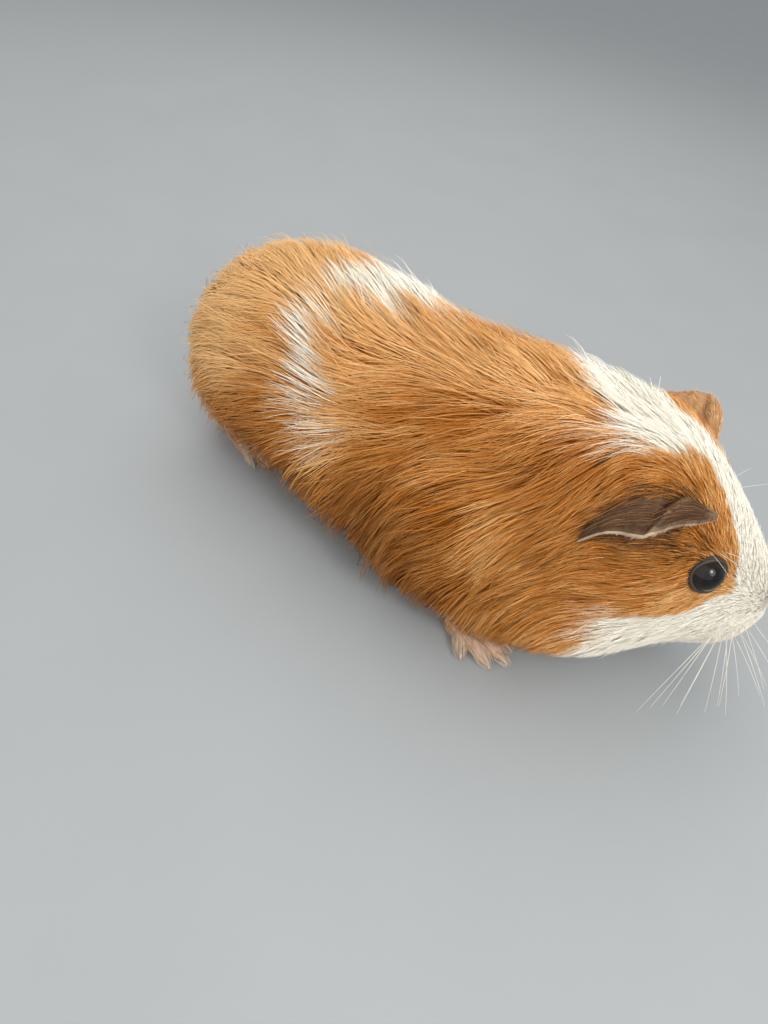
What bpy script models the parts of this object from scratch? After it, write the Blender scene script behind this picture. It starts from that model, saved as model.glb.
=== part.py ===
"""Guinea pig, life size, walking with its head turned a little to its left.

The solids give the animal's outline out to the tips of its coat. The trunk,
neck and head are lengths of one long loft; the legs are taken out of it with
ovals; ears, eyes, feet and claws are set into it. All sizes are millimetres.
+X points to the nose, +Y to the animal's left, +Z up, and the soles are at z = 0.
"""
import math

import bmesh
import bpy
import numpy as np

MM = 0.001
GAP = 0.3              # clear space left between two neighbouring pieces
AROUND = 28            # points round one ring of the body
WHOLE_RINGS = 50       # rings of the whole body where it is used as a tool
SAME_POINT = 0.01      # points of a loft nearer than this are one point
SPLINTER = 0.04        # edges shorter than this are closed up after a cut
FLOOR_CLEAR = 0.25     # toes and claws stand this far above the floor

# One row for each station of the body: x, half the width, top, underside,
# height of the widest line, roundness above it, roundness below it, how far the
# middle lies to the left, and how many degrees the section is turned to the left.
# The two roundnesses are the exponents of a superellipse.
STATIONS = (
    ("nose tip", 102.2, 0.0, 30.8, 30.8, 30.8, 2.1, 2.3, 14.6, 20.0),
    ("nostrils", 99.4, 7.3, 38.3, 22.6, 30.8, 2.1, 2.2, 14.2, 19.0),
    ("muzzle", 94.2, 12.5, 47.3, 15.1, 30.5, 2.1, 2.4, 11.9, 17.5),
    ("eyes", 79.3, 20.4, 63.2, 9.1, 33.8, 2.1, 2.5, 7.6, 15.0),
    ("ears", 62.4, 33.0, 74.6, 2.8, 33.0, 2.4, 3.6, 4.0, 10.0),
    ("nape", 41.9, 43.8, 75.4, 2.6, 30.0, 2.35, 3.7, 1.0, 4.0),
    ("shoulders", 15.9, 47.0, 75.4, 2.6, 30.0, 2.1, 3.5, 0.0, 0.0),
    ("barrel", -14.1, 43.5, 72.3, 2.9, 29.4, 2.1, 3.1, 0.0, 0.0),
    ("loin", -44.1, 40.0, 75.3, 5.0, 30.5, 2.1, 2.7, 0.0, 0.0),
    ("haunches", -70.1, 36.8, 74.2, 7.0, 32.1, 2.1, 2.4, 0.0, 0.0),
    ("rump", -90.1, 30.0, 64.5, 11.0, 32.8, 2.1, 2.6, 0.0, 0.0),
    ("tail end", -99.1, 17.4, 50.5, 21.0, 35.0, 2.1, 2.3, 0.0, 0.0),
    ("rump tip", -102.2, 0.0, 35.0, 35.0, 35.0, 2.1, 2.3, 0.0, 0.0),
)

# Where the body is parted, as x, and how many rings each length gets.
NOSE_CUT = 97.0
HEAD_CUT = 50.0
NECK_CUT = 25.0
RUMP_CUT = -57.0
LENGTHS = (
    ("nose", math.inf, NOSE_CUT, 4),
    ("head", NOSE_CUT, HEAD_CUT, 12),
    ("neck", HEAD_CUT, NECK_CUT, 5),
    ("trunk", NECK_CUT, RUMP_CUT, 12),
    ("rump", RUMP_CUT, -math.inf, 10),
)

EYE_RADIUS = 5.7
EYE_PLACE = (79.3, 48.0)       # station and height of the eye's middle
EYE_STANDS_OUT = 3.1           # height of the ball above the coat

# The ears. Each row: base x, y, z, then rim x, y, z, from rear to front. The left
# ear is told as if it were on the right, and stands out rounder with a shorter front.
EAR_ROWS = {
    "right": (
        (55.0, -28.0, 55.0, 54.5, -34.2, 55.5),
        (55.8, -25.2, 59.2, 58.3, -32.2, 59.7),
        (57.8, -20.6, 63.2, 61.8, -31.0, 61.6),
        (61.4, -15.8, 66.0, 65.2, -30.4, 62.7),
        (66.0, -11.8, 66.2, 68.2, -28.4, 63.4),
        (70.6, -9.0, 64.6, 71.5, -21.5, 64.1),
        (74.2, -7.2, 62.4, 75.4, -14.6, 63.2),
        (76.4, -6.2, 59.8, 78.3, -8.7, 62.6),
    ),
    "left": (
        (55.0, -28.0, 55.0, 54.5, -34.2, 55.5),
        (55.8, -25.2, 59.2, 58.3, -32.2, 59.7),
        (57.8, -20.6, 63.2, 61.8, -31.4, 61.6),
        (61.4, -15.8, 65.6, 66.9, -32.0, 62.7),
        (65.6, -12.4, 65.6, 71.2, -30.6, 63.2),
        (69.4, -10.6, 64.2, 74.0, -25.6, 63.8),
        (72.0, -10.6, 62.2, 74.6, -19.4, 63.0),
        (73.2, -11.6, 60.4, 74.0, -16.0, 61.6),
    ),
}
EAR_THICK = 1.3
EAR_THINNER = 0.45             # share of the thickness lost at the rim
EAR_ARCH = 2.4                 # how far the petal bows up between base and rim
EAR_HINGE = (63.4, -16.0, 66.0)
HEAD_MIDDLE = (62.4, 4.0, 10.0)   # x and y of the middle line at the ears, its heading
EAR_RAISED = (0.0, 15.0)       # right and left ear, degrees up from the droop

# Upper legs as ovals taken out of the body: middle, then half sizes.
SHOULDER = ((28.4, -32.0, 21.0), (17.0, 19.0, 21.0))
HAUNCH = ((-65.6, -24.0, 28.0), (26.0, 22.0, 25.0))
LEFT_FORE_AHEAD = 9.0          # the left feet stand this far ahead of the right
LEFT_HIND_AHEAD = 12.0

# Shins, each a tapering round bar: top, ankle, radius at each end.
FORE_SHIN = ((30.4, -31.5, 16.0), (34.4, -33.5, 7.5), 6.2, 4.6)
HIND_SHIN = ((-74.6, -17.0, 20.0), (-81.6, -15.6, 8.5), 7.0, 4.7)

# Feet: stations of x, y, half width, height over the floor.
FOREFOOT = ((29.4, -32.6, 2.4, 4.6), (32.4, -32.8, 4.2, 7.0), (36.4, -33.0, 5.2, 7.2),
            (40.4, -33.6, 5.9, 6.2), (43.4, -34.0, 5.0, 4.6))
HINDFOOT = ((-90.1, -14.0, 2.4, 5.0), (-87.1, -14.5, 4.1, 7.4), (-81.6, -15.5, 4.8, 8.2),
            (-75.1, -16.9, 5.0, 6.6), (-70.1, -18.2, 5.8, 5.6), (-66.1, -19.2, 5.2, 4.4))

# Toes: root x, y, then tip x, y, and radius. The claw goes on from the tip.
FORE_TOES = ((34.4, -35.2, 38.8, -40.6, 2.0), (39.4, -36.4, 46.2, -38.6, 2.3),
             (40.4, -33.2, 49.0, -34.2, 2.3), (39.9, -30.2, 47.6, -29.6, 2.1))
HIND_TOES = ((-69.6, -21.6, -63.6, -24.8, 2.1), (-68.1, -19.6, -60.2, -22.0, 2.3),
             (-68.6, -16.4, -59.8, -16.9, 2.1))
TOE_SHAPE = (0.95, 1.0, 0.98, 0.66)   # share of its radius from root to tip
TOE_ROOT_LIFT = 0.9            # how much higher than its own radius a toe starts
TOE_TIP_DROP = 0.35            # how much lower than its own radius it ends
SOLE_SHARE = 0.3               # share of a foot's height that the floor cuts off
SOLE_MOST = 2.0                # and the most that it cuts off
FORE_CLAW = (3.4, 1.05)        # length and radius at the root
HIND_CLAW = (4.4, 1.2)
CLAW_TIP = 0.16                # least radius of a claw


def clear_scene():
    """Take every object of the starting scene out."""
    for thing in list(bpy.data.objects):
        bpy.data.objects.remove(thing, do_unlink=True)


def material(name, colour, roughness):
    """Make one plain material."""
    made = bpy.data.materials.new(name)
    made.use_nodes = True
    shader = made.node_tree.nodes["Principled BSDF"]
    shader.inputs["Base Color"].default_value = (*colour, 1.0)
    shader.inputs["Roughness"].default_value = roughness
    return made


def body_keys(grow=0.0):
    """Stations as x, half width, rise, drop, level, two exponents, offset and heading."""
    table = np.array([row[1:] for row in STATIONS])
    x, half, top, low, level, above, below, middle, heading = table.T
    more = np.where(half > 0.0, grow, 0.0)
    x = x + np.where(half > 0.0, 0.0, np.sign(x) * grow)
    sizes = (x, half + more, top - level + more, level - low + more, level)
    return np.stack(sizes + (above, below, middle, np.radians(heading)), axis=1)


def through_rows(rows, along):
    """Read a table between its rows with a smooth cubic through them.

    The first and last row lie one step outside the part that is read.
    """
    step = np.clip(np.floor(along).astype(int), 0, len(rows) - 4)
    f = (along - step)[..., None]
    a, b, c, d = rows[step], rows[step + 1], rows[step + 2], rows[step + 3]
    square = 2 * a - 5 * b + 4 * c - d
    cube = 3 * b - a - 3 * c + d
    return 0.5 * (2 * b + (c - a) * f + square * f**2 + cube * f**3)


def body_at(keys, along):
    """Read the station table at any place between its first and last row.

    The rows next to each end are repeated beyond it with the half sizes turned
    negative, so that the section shrinks to nothing at the tip and ends round.
    """
    turned = np.array([1, -1, -1, -1, 1, 1, 1, 1, 1.0])
    return through_rows(np.vstack([keys[1] * turned, keys, keys[-2] * turned]), along)


def body_surface(keys, along, turn):
    """Point of the body: a superellipse round the middle line at that station."""
    x, half, rise, drop, level, above, below, middle, heading = np.moveaxis(
        body_at(keys, along), -1, 0)
    sine, cosine = np.sin(turn), np.cos(turn)
    power = np.where(cosine > 0, above, below)
    size = (np.abs(sine)**power + np.abs(cosine)**power) ** (1 / power)
    out = half * sine / size
    z = level + np.where(cosine > 0, rise, drop) * cosine / size
    return np.stack([x - out * np.sin(heading), middle + out * np.cos(heading), z], axis=-1)


def along_at(keys, x):
    """The place in the station table where the body reaches this x."""
    fine = np.linspace(0, len(keys) - 1, 4001)
    return float(np.interp(-x, -body_at(keys, fine)[:, 0], fine))


def add_object(name, points, faces, stuff):
    """Turn millimetre points and faces into a closed, outward facing object."""
    mesh = bpy.data.meshes.new(name)
    mesh.from_pydata([tuple(p) for p in np.asarray(points) * MM], [], faces)
    build = bmesh.new()
    build.from_mesh(mesh)
    bmesh.ops.remove_doubles(build, verts=build.verts, dist=SAME_POINT * MM)
    bmesh.ops.recalc_face_normals(build, faces=build.faces)
    build.to_mesh(mesh)
    build.free()
    mesh.materials.append(stuff)
    mesh.polygons.foreach_set("use_smooth", [True] * len(mesh.polygons))
    made = bpy.data.objects.new(name, mesh)
    bpy.context.scene.collection.objects.link(made)
    return made


def closed_loft(name, rings, stuff, thin=False):
    """Join rings of points with quads and close both ends.

    An end is closed with a flat fan, or, on a thin sheet whose rings run out on
    one face and back on the other, with a ladder between the two faces.
    """
    rings = np.asarray(rings)
    count, around = rings.shape[:2]
    points = list(rings.reshape(-1, 3))
    pole = [float(np.ptp(ring, axis=0).max()) < 1e-6 for ring in rings]
    faces = []
    for i in range(count - 1):
        for j in range(around):
            k = (j + 1) % around
            near = (i * around + j,) if pole[i] else (i * around + j, i * around + k)
            far = (i + 1) * around
            faces.append(near + ((far + j,) if pole[i + 1] else (far + k, far + j)))
    for first in (0, (count - 1) * around):
        if pole[first // around]:
            continue
        if thin:
            last = first + around - 1
            for j in range(around // 2 - 1):
                faces.append((first + j, first + j + 1, last - j - 1, last - j))
            continue
        points.append(np.mean(points[first:first + around], axis=0))
        middle = len(points) - 1
        for j in range(around):
            faces.append((first + j, first + (j + 1) % around, middle))
    return add_object(name, points, faces, stuff)


def body_length(name, front, back, rings, stuff, grow=0.0):
    """One length of the body between two x, half the gap short of each cut.

    An end given as infinite is the body's own tip.
    """
    keys = body_keys(grow)
    start = along_at(keys, front - GAP / 2) if math.isfinite(front) else 0.0
    stop = along_at(keys, back + GAP / 2) if math.isfinite(back) else len(keys) - 1.0
    along = np.linspace(start, stop, rings)
    turn = np.linspace(0, 2 * math.pi, AROUND, endpoint=False)
    mesh_along, mesh_turn = np.meshgrid(along, turn, indexing="ij")
    return closed_loft(name, body_surface(keys, mesh_along, mesh_turn), stuff)


def whole_body(name, stuff, grow=0.0):
    """The body in one length, as a tool to cut others with."""
    return body_length(name, math.inf, -math.inf, WHOLE_RINGS, stuff, grow)


def oval(name, middle, radii, stuff, grow=0.0, turns=18, rows=10):
    """Ball stretched to three half sizes."""
    tilt = np.linspace(0, math.pi, rows)
    turn = np.linspace(0, 2 * math.pi, turns, endpoint=False)
    a, b = np.meshgrid(tilt, turn, indexing="ij")
    unit = np.stack([np.sin(a) * np.cos(b), np.sin(a) * np.sin(b), np.cos(a)], axis=-1)
    return closed_loft(name, np.array(middle) + unit * (np.array(radii) + grow), stuff)


def bar(name, path, radii, stuff, turns=12, floor=None):
    """Round bar along a path; rings stand square to it, and stop at the floor."""
    path, radii = np.asarray(path, float), np.asarray(radii, float)
    if radii.ndim == 1:
        radii = np.stack([radii, radii], axis=1)
    ahead = np.gradient(path, axis=0)
    ahead /= np.linalg.norm(ahead, axis=1)[:, None]
    side = np.cross([0, 0, 1.0], ahead)
    flat = np.linalg.norm(side, axis=1) < 0.2
    side[flat] = [0, 1.0, 0]
    side /= np.linalg.norm(side, axis=1)[:, None]
    up = np.cross(ahead, side)
    turn = np.linspace(0, 2 * math.pi, turns, endpoint=False) + math.pi / turns
    wide = (radii[:, :1] * np.cos(turn))[..., None] * side[:, None]
    high = (radii[:, 1:] * np.sin(turn))[..., None] * up[:, None]
    rings = path[:, None] + wide + high
    if floor is not None:
        rings[..., 2] = np.maximum(rings[..., 2], floor)
    return closed_loft(name, rings, stuff)


def combine(target, tool, kind, keep=False):
    """Cut, join or cross one object with another and keep the result as a mesh."""
    cut = target.modifiers.new("shape", "BOOLEAN")
    cut.operation = kind
    cut.solver = "EXACT"
    cut.object = tool
    bpy.context.view_layer.update()
    view = bpy.context.evaluated_depsgraph_get()
    result = bpy.data.meshes.new_from_object(target.evaluated_get(view))
    target.modifiers.remove(cut)
    build = bmesh.new()
    build.from_mesh(result)
    bmesh.ops.remove_doubles(build, verts=build.verts, dist=SPLINTER * MM)
    bmesh.ops.dissolve_degenerate(build, edges=build.edges, dist=SPLINTER * MM)
    build.to_mesh(result)
    build.free()
    target.data = result
    if not keep:
        bpy.data.objects.remove(tool, do_unlink=True)
    return target


def mirrored(points, side, ahead=0.0):
    """Put right side points on the wanted side; the left ones may stand further ahead."""
    out = np.array(points, float)
    if side == "left":
        out[..., 1] *= -1
        out[..., 0] += ahead
    return out


def leg(name, egg, shin, side, ahead, stuff, grow=0.0, joined=True):
    """Upper leg cut from the body with an oval, joined to the shin below it.

    With a growth and not joined to the body's form, it is the room for the leg.
    """
    middle = mirrored(egg[0], side, ahead)
    piece = oval(name, middle, egg[1], stuff, grow)
    if joined:
        whole = whole_body("whole body", stuff)
        combine(piece, whole, "INTERSECT")
    top, ankle = mirrored(shin[0], side, ahead), mirrored(shin[1], side, ahead)
    down = (ankle - top) / np.linalg.norm(ankle - top)
    path = [top, (top + ankle) / 2, ankle]
    if grow:
        path[-1] = ankle + down * 4
    radii = np.array([shin[2], (shin[2] + shin[3]) / 2, shin[3]]) + grow
    lower = bar(name + " shin", path, radii, stuff, turns=12, floor=None if grow else shin[1][2])
    return combine(piece, lower, "UNION")


def foot(name, stations, toes, side, ahead, stuff, grow=0.0, reach=0.0):
    """Flat soled foot with its toes; toes stand a hair clear of the floor.

    With a growth it is the room that the foot needs in the coat above it, and
    the toes then reach on past their claws.
    """
    rows = np.array(stations)
    height = rows[:, 3]
    sole = np.minimum(SOLE_SHARE * height, SOLE_MOST)
    middle = np.stack([rows[:, 0], rows[:, 1], (height - sole) / 2], axis=1)
    radii = np.stack([rows[:, 2], (height + sole) / 2], axis=1) + grow
    floor = None if grow else 0.0
    piece = bar(name, mirrored(middle, side, ahead), radii, stuff, turns=12, floor=floor)
    for number, toe in enumerate(toes):
        root = mirrored((toe[0], toe[1], toe[4] + TOE_ROOT_LIFT), side, ahead)
        tip = mirrored((toe[2], toe[3], toe[4] - TOE_TIP_DROP), side, ahead)
        tip = tip + (tip - root) / np.linalg.norm(tip - root) * reach
        path = [root, root * 0.6 + tip * 0.4, root * 0.25 + tip * 0.75, tip]
        shape = TOE_SHAPE[:3] + (TOE_SHAPE[2] if grow else TOE_SHAPE[3],)
        radii = np.array(shape) * toe[4] + grow
        floor = None if grow else FLOOR_CLEAR
        digit = bar(f"{name} toe {number}", path, radii, stuff, turns=8, floor=floor)
        combine(piece, digit, "UNION")
    return piece


def claw(name, toe, size, side, ahead, stuff):
    """Pointed claw that goes on from the toe and bends to the floor."""
    root = mirrored((toe[0], toe[1], toe[4] - TOE_TIP_DROP), side, ahead)
    tip = mirrored((toe[2], toe[3], toe[4] - TOE_TIP_DROP), side, ahead)
    way = (tip - root) / np.linalg.norm(tip - root)
    length, radius = size
    fraction = np.array([0.0, 0.4, 0.8, 1.0])
    path = tip + way * (GAP + length * fraction)[:, None]
    path[:, 2] += FLOOR_CLEAR - (tip[2] - FLOOR_CLEAR - CLAW_TIP) * fraction**1.6
    radii = np.maximum(radius * (1 - fraction) ** 0.7, CLAW_TIP)
    return bar(name, path, radii, stuff, turns=6, floor=FLOOR_CLEAR)


def across_the_head(points):
    """Mirror points in the upright plane along the head's own heading."""
    x, y, heading = HEAD_MIDDLE
    heading = math.radians(heading)
    sideways = np.array([-math.sin(heading), math.cos(heading), 0.0])
    away = (points - np.array([x, y, 0.0])) @ sideways
    return points - 2 * away[..., None] * sideways


def ear(name, side, raised, stuff):
    """Petal between the base and rim rows, curved like a shell and thinner at the rim."""
    rows = np.array(EAR_ROWS[side])
    ends = np.vstack([2 * rows[0] - rows[1], rows, 2 * rows[-1] - rows[-2]])
    edge = through_rows(ends, np.linspace(0, len(rows) - 1, 12))
    base, rim = edge[:, None, :3], edge[:, None, 3:]
    outward = np.linspace(0, 1, 6)[None, :, None]
    sheet = base * (1 - outward) + rim * outward
    sheet[..., 2] += EAR_ARCH * np.sin(math.pi * outward[..., 0])
    hinge = np.array(EAR_HINGE)
    angle = math.radians(raised)
    away = sheet - hinge
    turned = away.copy()
    turned[..., 1] = away[..., 1] * math.cos(angle) + away[..., 2] * math.sin(angle)
    turned[..., 2] = away[..., 2] * math.cos(angle) - away[..., 1] * math.sin(angle)
    sheet = hinge + turned
    across = np.cross(np.gradient(sheet, axis=0), np.gradient(sheet, axis=1))
    across /= np.linalg.norm(across, axis=-1)[..., None]
    half = EAR_THICK / 2 * (1 - EAR_THINNER * outward)
    rings = np.concatenate([sheet + across * half, (sheet - across * half)[:, ::-1]], axis=1)
    if side == "left":
        rings = across_the_head(rings)
    return closed_loft(name, rings, stuff, thin=True)


def eye_middle(side):
    """Middle of an eyeball: in from the coat along the surface's own direction."""
    keys = body_keys()
    along = along_at(keys, EYE_PLACE[0])
    turn = np.linspace(0.05, math.pi * 0.6, 400) * (-1 if side == "right" else 1)
    points = body_surface(keys, np.full_like(turn, along), turn)
    best = turn[np.argmin(np.abs(points[:, 2] - EYE_PLACE[1]))]
    here, ahead, beside = (body_surface(keys, np.array(u), np.array(v))
                           for u, v in ((along, best), (along + 0.05, best), (along, best + 0.02)))
    out = np.cross(ahead - here, beside - here)
    out /= np.linalg.norm(out)
    if out[2] < 0:
        out = -out
    return here - out * (EYE_RADIUS - EYE_STANDS_OUT)


def build():
    """Make every piece of the animal."""
    clear_scene()
    fur = material("Fur", (0.60, 0.31, 0.12), 0.6)
    nose_skin = material("Nose fur", (0.80, 0.66, 0.55), 0.6)
    ear_skin = material("Ear skin", (0.10, 0.055, 0.03), 0.5)
    foot_skin = material("Foot skin", (0.40, 0.25, 0.18), 0.55)
    eye_stuff = material("Eye", (0.010, 0.008, 0.007), 0.08)
    horn = material("Claw", (0.62, 0.50, 0.38), 0.35)

    pieces = {}
    for name, front, back, rings in LENGTHS:
        stuff = nose_skin if name == "nose" else fur
        pieces[name] = body_length(name, front, back, rings, stuff)
    for side, raised in zip(("right", "left"), EAR_RAISED):
        limbs = (("fore", SHOULDER, FORE_SHIN, FOREFOOT, FORE_TOES, FORE_CLAW,
                  LEFT_FORE_AHEAD, ("head", "neck", "trunk")),
                 ("hind", HAUNCH, HIND_SHIN, HINDFOOT, HIND_TOES, HIND_CLAW,
                  LEFT_HIND_AHEAD, ("trunk", "rump")))
        for end, egg, shin, sole, toes, nail, ahead, beside in limbs:
            upper = leg(f"{end}leg_{side}", egg, shin, side, ahead, fur)
            room = leg("room", egg, shin, side, ahead, fur, grow=GAP, joined=False)
            under = foot("under", sole, toes, side, ahead, fur, grow=GAP, reach=nail[0])
            for one in beside:
                combine(pieces[one], room, "DIFFERENCE", keep=True)
                combine(pieces[one], under, "DIFFERENCE", keep=True)
            combine(upper, under, "DIFFERENCE")
            bpy.data.objects.remove(room, do_unlink=True)
            foot(f"{end}foot_{side}", sole, toes, side, ahead, foot_skin)
            for number, toe in enumerate(toes, 1):
                claw(f"claw_{end}_{side}_{number}", toe, nail, side, ahead, horn)

        middle = eye_middle(side)
        oval("eye_" + side, middle, (EYE_RADIUS,) * 3, eye_stuff)
        socket = oval("socket", middle, (EYE_RADIUS,) * 3, fur, grow=GAP)
        combine(pieces["head"], socket, "DIFFERENCE")
        petal = ear("ear_" + side, side, raised, ear_skin)
        combine(petal, whole_body("clear", fur, grow=GAP), "DIFFERENCE")


build()
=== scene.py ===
"""The looks of a life-size guinea pig: skin, eyes, claws, whiskers and coat.

One skin lies inside the solids by the depth of the coat. The coat over it is
solid hair in tufts, combed along the body and bundled into locks. Sizes are in
the model's own millimetres, read from the frame, and places are told as a
station along the body (0 nose tip to 12 rump tip) and a turn round it (0 on the
back, negative on the right side, half a circle on the belly).
"""

import math

import bmesh
import bpy
import numpy as np
from mathutils import Matrix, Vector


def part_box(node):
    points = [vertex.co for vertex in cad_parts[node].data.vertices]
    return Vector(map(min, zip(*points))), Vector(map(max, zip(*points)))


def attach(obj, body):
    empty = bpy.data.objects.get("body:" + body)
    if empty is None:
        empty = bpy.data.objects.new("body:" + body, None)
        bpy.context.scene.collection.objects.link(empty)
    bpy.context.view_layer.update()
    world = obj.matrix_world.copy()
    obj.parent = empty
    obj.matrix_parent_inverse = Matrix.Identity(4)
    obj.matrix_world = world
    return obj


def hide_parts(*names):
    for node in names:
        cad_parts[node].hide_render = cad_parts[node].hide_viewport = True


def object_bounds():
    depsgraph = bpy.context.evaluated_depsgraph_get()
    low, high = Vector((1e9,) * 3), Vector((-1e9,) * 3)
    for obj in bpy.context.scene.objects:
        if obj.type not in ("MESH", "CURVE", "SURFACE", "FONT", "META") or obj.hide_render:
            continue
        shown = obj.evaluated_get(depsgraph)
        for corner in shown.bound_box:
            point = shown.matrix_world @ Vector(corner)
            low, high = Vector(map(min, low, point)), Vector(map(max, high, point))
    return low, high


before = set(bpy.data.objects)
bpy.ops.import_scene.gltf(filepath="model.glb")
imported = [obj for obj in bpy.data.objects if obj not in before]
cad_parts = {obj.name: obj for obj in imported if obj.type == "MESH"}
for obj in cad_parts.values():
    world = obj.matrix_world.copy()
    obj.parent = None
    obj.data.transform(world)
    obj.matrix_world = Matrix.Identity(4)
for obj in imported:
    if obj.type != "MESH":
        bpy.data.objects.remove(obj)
CAD_BOX = [np.array(corner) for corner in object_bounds()]
MODEL_LENGTH = 204.7
MM = float(CAD_BOX[1][0] - CAD_BOX[0][0]) / MODEL_LENGTH     # one millimetre of the model
RNG = np.random.default_rng(7)
UP = np.array([0.0, 0.0, 1.0])
SIDES = {"right": -1, "left": 1}      # and the way of each along y
ENDS = ("fore", "hind")

# ---------------------------------------------------------------- the form

# The body's stations, as the solids have them: x, half the width, top, underside,
# height of the widest line, roundness above it and below it, how far the middle
# lies to the left, and how many degrees the section is turned to the left.
STATIONS = np.array((
    (102.2, 0.0, 30.8, 30.8, 30.8, 2.1, 2.3, 14.6, 20.0),      # nose tip
    (99.4, 7.3, 38.3, 22.6, 30.8, 2.1, 2.2, 14.2, 19.0),       # nostrils
    (94.2, 12.5, 47.3, 15.1, 30.5, 2.1, 2.4, 11.9, 17.5),      # muzzle
    (79.3, 20.4, 63.2, 9.1, 33.8, 2.1, 2.5, 7.6, 15.0),        # eyes
    (62.4, 33.0, 74.6, 2.8, 33.0, 2.4, 3.6, 4.0, 10.0),        # ears
    (41.9, 43.8, 75.4, 2.6, 30.0, 2.35, 3.7, 1.0, 4.0),         # nape
    (15.9, 47.0, 75.4, 2.6, 30.0, 2.1, 3.5, 0.0, 0.0),         # shoulders
    (-14.1, 43.5, 72.3, 2.9, 29.4, 2.1, 3.1, 0.0, 0.0),        # barrel
    (-44.1, 40.0, 75.3, 5.0, 30.5, 2.1, 2.7, 0.0, 0.0),        # loin
    (-70.1, 36.8, 74.2, 7.0, 32.1, 2.1, 2.4, 0.0, 0.0),        # haunches
    (-90.1, 30.0, 64.5, 11.0, 32.8, 2.1, 2.6, 0.0, 0.0),       # rump
    (-99.1, 17.4, 50.5, 21.0, 35.0, 2.1, 2.3, 0.0, 0.0),       # tail end
    (-102.2, 0.0, 35.0, 35.0, 35.0, 2.1, 2.3, 0.0, 0.0),       # rump tip
))
LAST = len(STATIONS) - 1.0

# Fields over the body: one row for each station, one column for each angle from
# the back. Depth of coat over skin, then length of the hair, in millimetres.
DEPTH_ANGLES = (0, 90, 180)
DEPTH = ((0.5, 0.5, 0.5), (0.7, 0.7, 0.7), (1.2, 1.5, 1.4), (1.7, 1.8, 2.2), (3.0, 3.6, 4.0),
         (5.5, 7.0, 5.0), (7.0, 9.0, 5.5), (7.0, 10.0, 5.5), (7.5, 10.0, 6.0),
         (8.0, 9.0, 6.0), (8.0, 8.5, 7.0), (7.0, 7.0, 7.0), (6.0, 6.0, 6.0))
LENGTH_ANGLES = (0, 60, 100, 180)
LENGTH = ((1.3, 1.3, 1.3, 1.3), (1.8, 2.0, 2.2, 2.0), (3.2, 3.4, 4.2, 4.0), (5.0, 5.0, 6.5, 7.0),
          (9.0, 9.0, 11.0, 11.0), (19.0, 20.0, 19.0, 16.0), (26.0, 28.0, 27.0, 18.0),
          (26.0, 29.0, 30.0, 18.0), (24.0, 27.0, 28.0, 18.0), (21.0, 22.0, 24.0, 18.0),
          (18.0, 19.0, 20.0, 16.0), (15.0, 16.0, 17.0, 15.0), (13.0, 13.0, 13.0, 13.0))
# Lie of the coat: degrees that the hair leans down from straight back, and how many
# degrees the whole coat on the back is swept to the animal's left.
LIE_ALONG = (0, 1, 2, 2.75, 3.25, 3.75, 4.25, 4.75, 5.25, 5.75, 6.25, 7, 7.75, 8.5, 9.25, 10.5,
             11.4, 12)
LIE_ANGLES = (0, 20, 40, 60, 80, 100, 125)
LIE = ((0, 0, 0, 0, 0, 0, 0), (0, 0, 5, 15, 25, 30, 30), (0, -5, 0, 20, 40, 45, 55),
       (0, -11, -25, 13, 45, 35, 50), (0, -3, -7, 30, 20, -3, -10), (0, -1, 35, 18, 0, -20, 10),
       (0, 12, 43, 8, -8, 10, 50), (0, 42, 58, 46, 40, 55, 80), (0, 28, 49, 52, 58, 62, 78),
       (0, 26, 48, 50, 52, 54, 64), (0, 21, 41, 58, 70, 68, 70), (0, 9, 28, 46, 60, 68, 70),
       (0, 8, 14, 26, 34, 52, 66), (0, 10, 14, 17, 30, 42, 60), (0, 10, 12, 26, 45, 48, 52),
       (0, 2, 4, 12, 26, 40, 60), (0, 5, 12, 30, 50, 75, 100), (0, 10, 30, 60, 90, 110, 140))
LIE_SWEPT = (0, 0, 4, 12, 20, 20, 8, 6, -8, 4, 14, 9, 17, 19, 18, 12, 4, 0)


def through_rows(rows, along):
    """Smooth cubic through a table's rows; the first and last lie one step outside."""
    step = np.clip(np.floor(along).astype(int), 0, len(rows) - 4)
    f = (along - step)[..., None]
    a, b, c, d = rows[step], rows[step + 1], rows[step + 2], rows[step + 3]
    square = 2 * a - 5 * b + 4 * c - d
    cube = 3 * b - a - 3 * c + d
    return 0.5 * (2 * b + (c - a) * f + square * f**2 + cube * f**3)


def body_keys():
    """Stations as x, half width, rise, drop, level, two exponents, offset and heading."""
    x, half, top, low, level, above, below, middle, heading = STATIONS.T
    rows = np.stack([x, half, top - level, level - low, level, above, below, middle,
                     np.radians(heading)], axis=1)
    turned = np.array([1, -1, -1, -1, 1, 1, 1, 1, 1.0])
    return np.vstack([rows[1] * turned, rows, rows[-2] * turned])


KEYS = body_keys()
FINE_ALONG = np.linspace(0.0, LAST, 4001)
FINE_X = through_rows(KEYS, FINE_ALONG)[:, 0]


def body_point(along, turn):
    """Point of the coat's surface: a superellipse round the middle line at that station."""
    x, half, rise, drop, level, above, below, middle, heading = np.moveaxis(
        through_rows(KEYS, np.clip(along, 0.0, LAST)), -1, 0)
    sine, cosine = np.sin(turn), np.cos(turn)
    power = np.where(cosine > 0, above, below)
    size = (np.abs(sine)**power + np.abs(cosine)**power) ** (1 / power)
    out = half * sine / size
    z = level + np.where(cosine > 0, rise, drop) * cosine / size
    return np.stack([x - out * np.sin(heading), middle + out * np.cos(heading), z], axis=-1)


def unit(vectors):
    """Vectors brought to length one."""
    return vectors / np.maximum(np.linalg.norm(vectors, axis=-1, keepdims=True), 1e-9)


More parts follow.
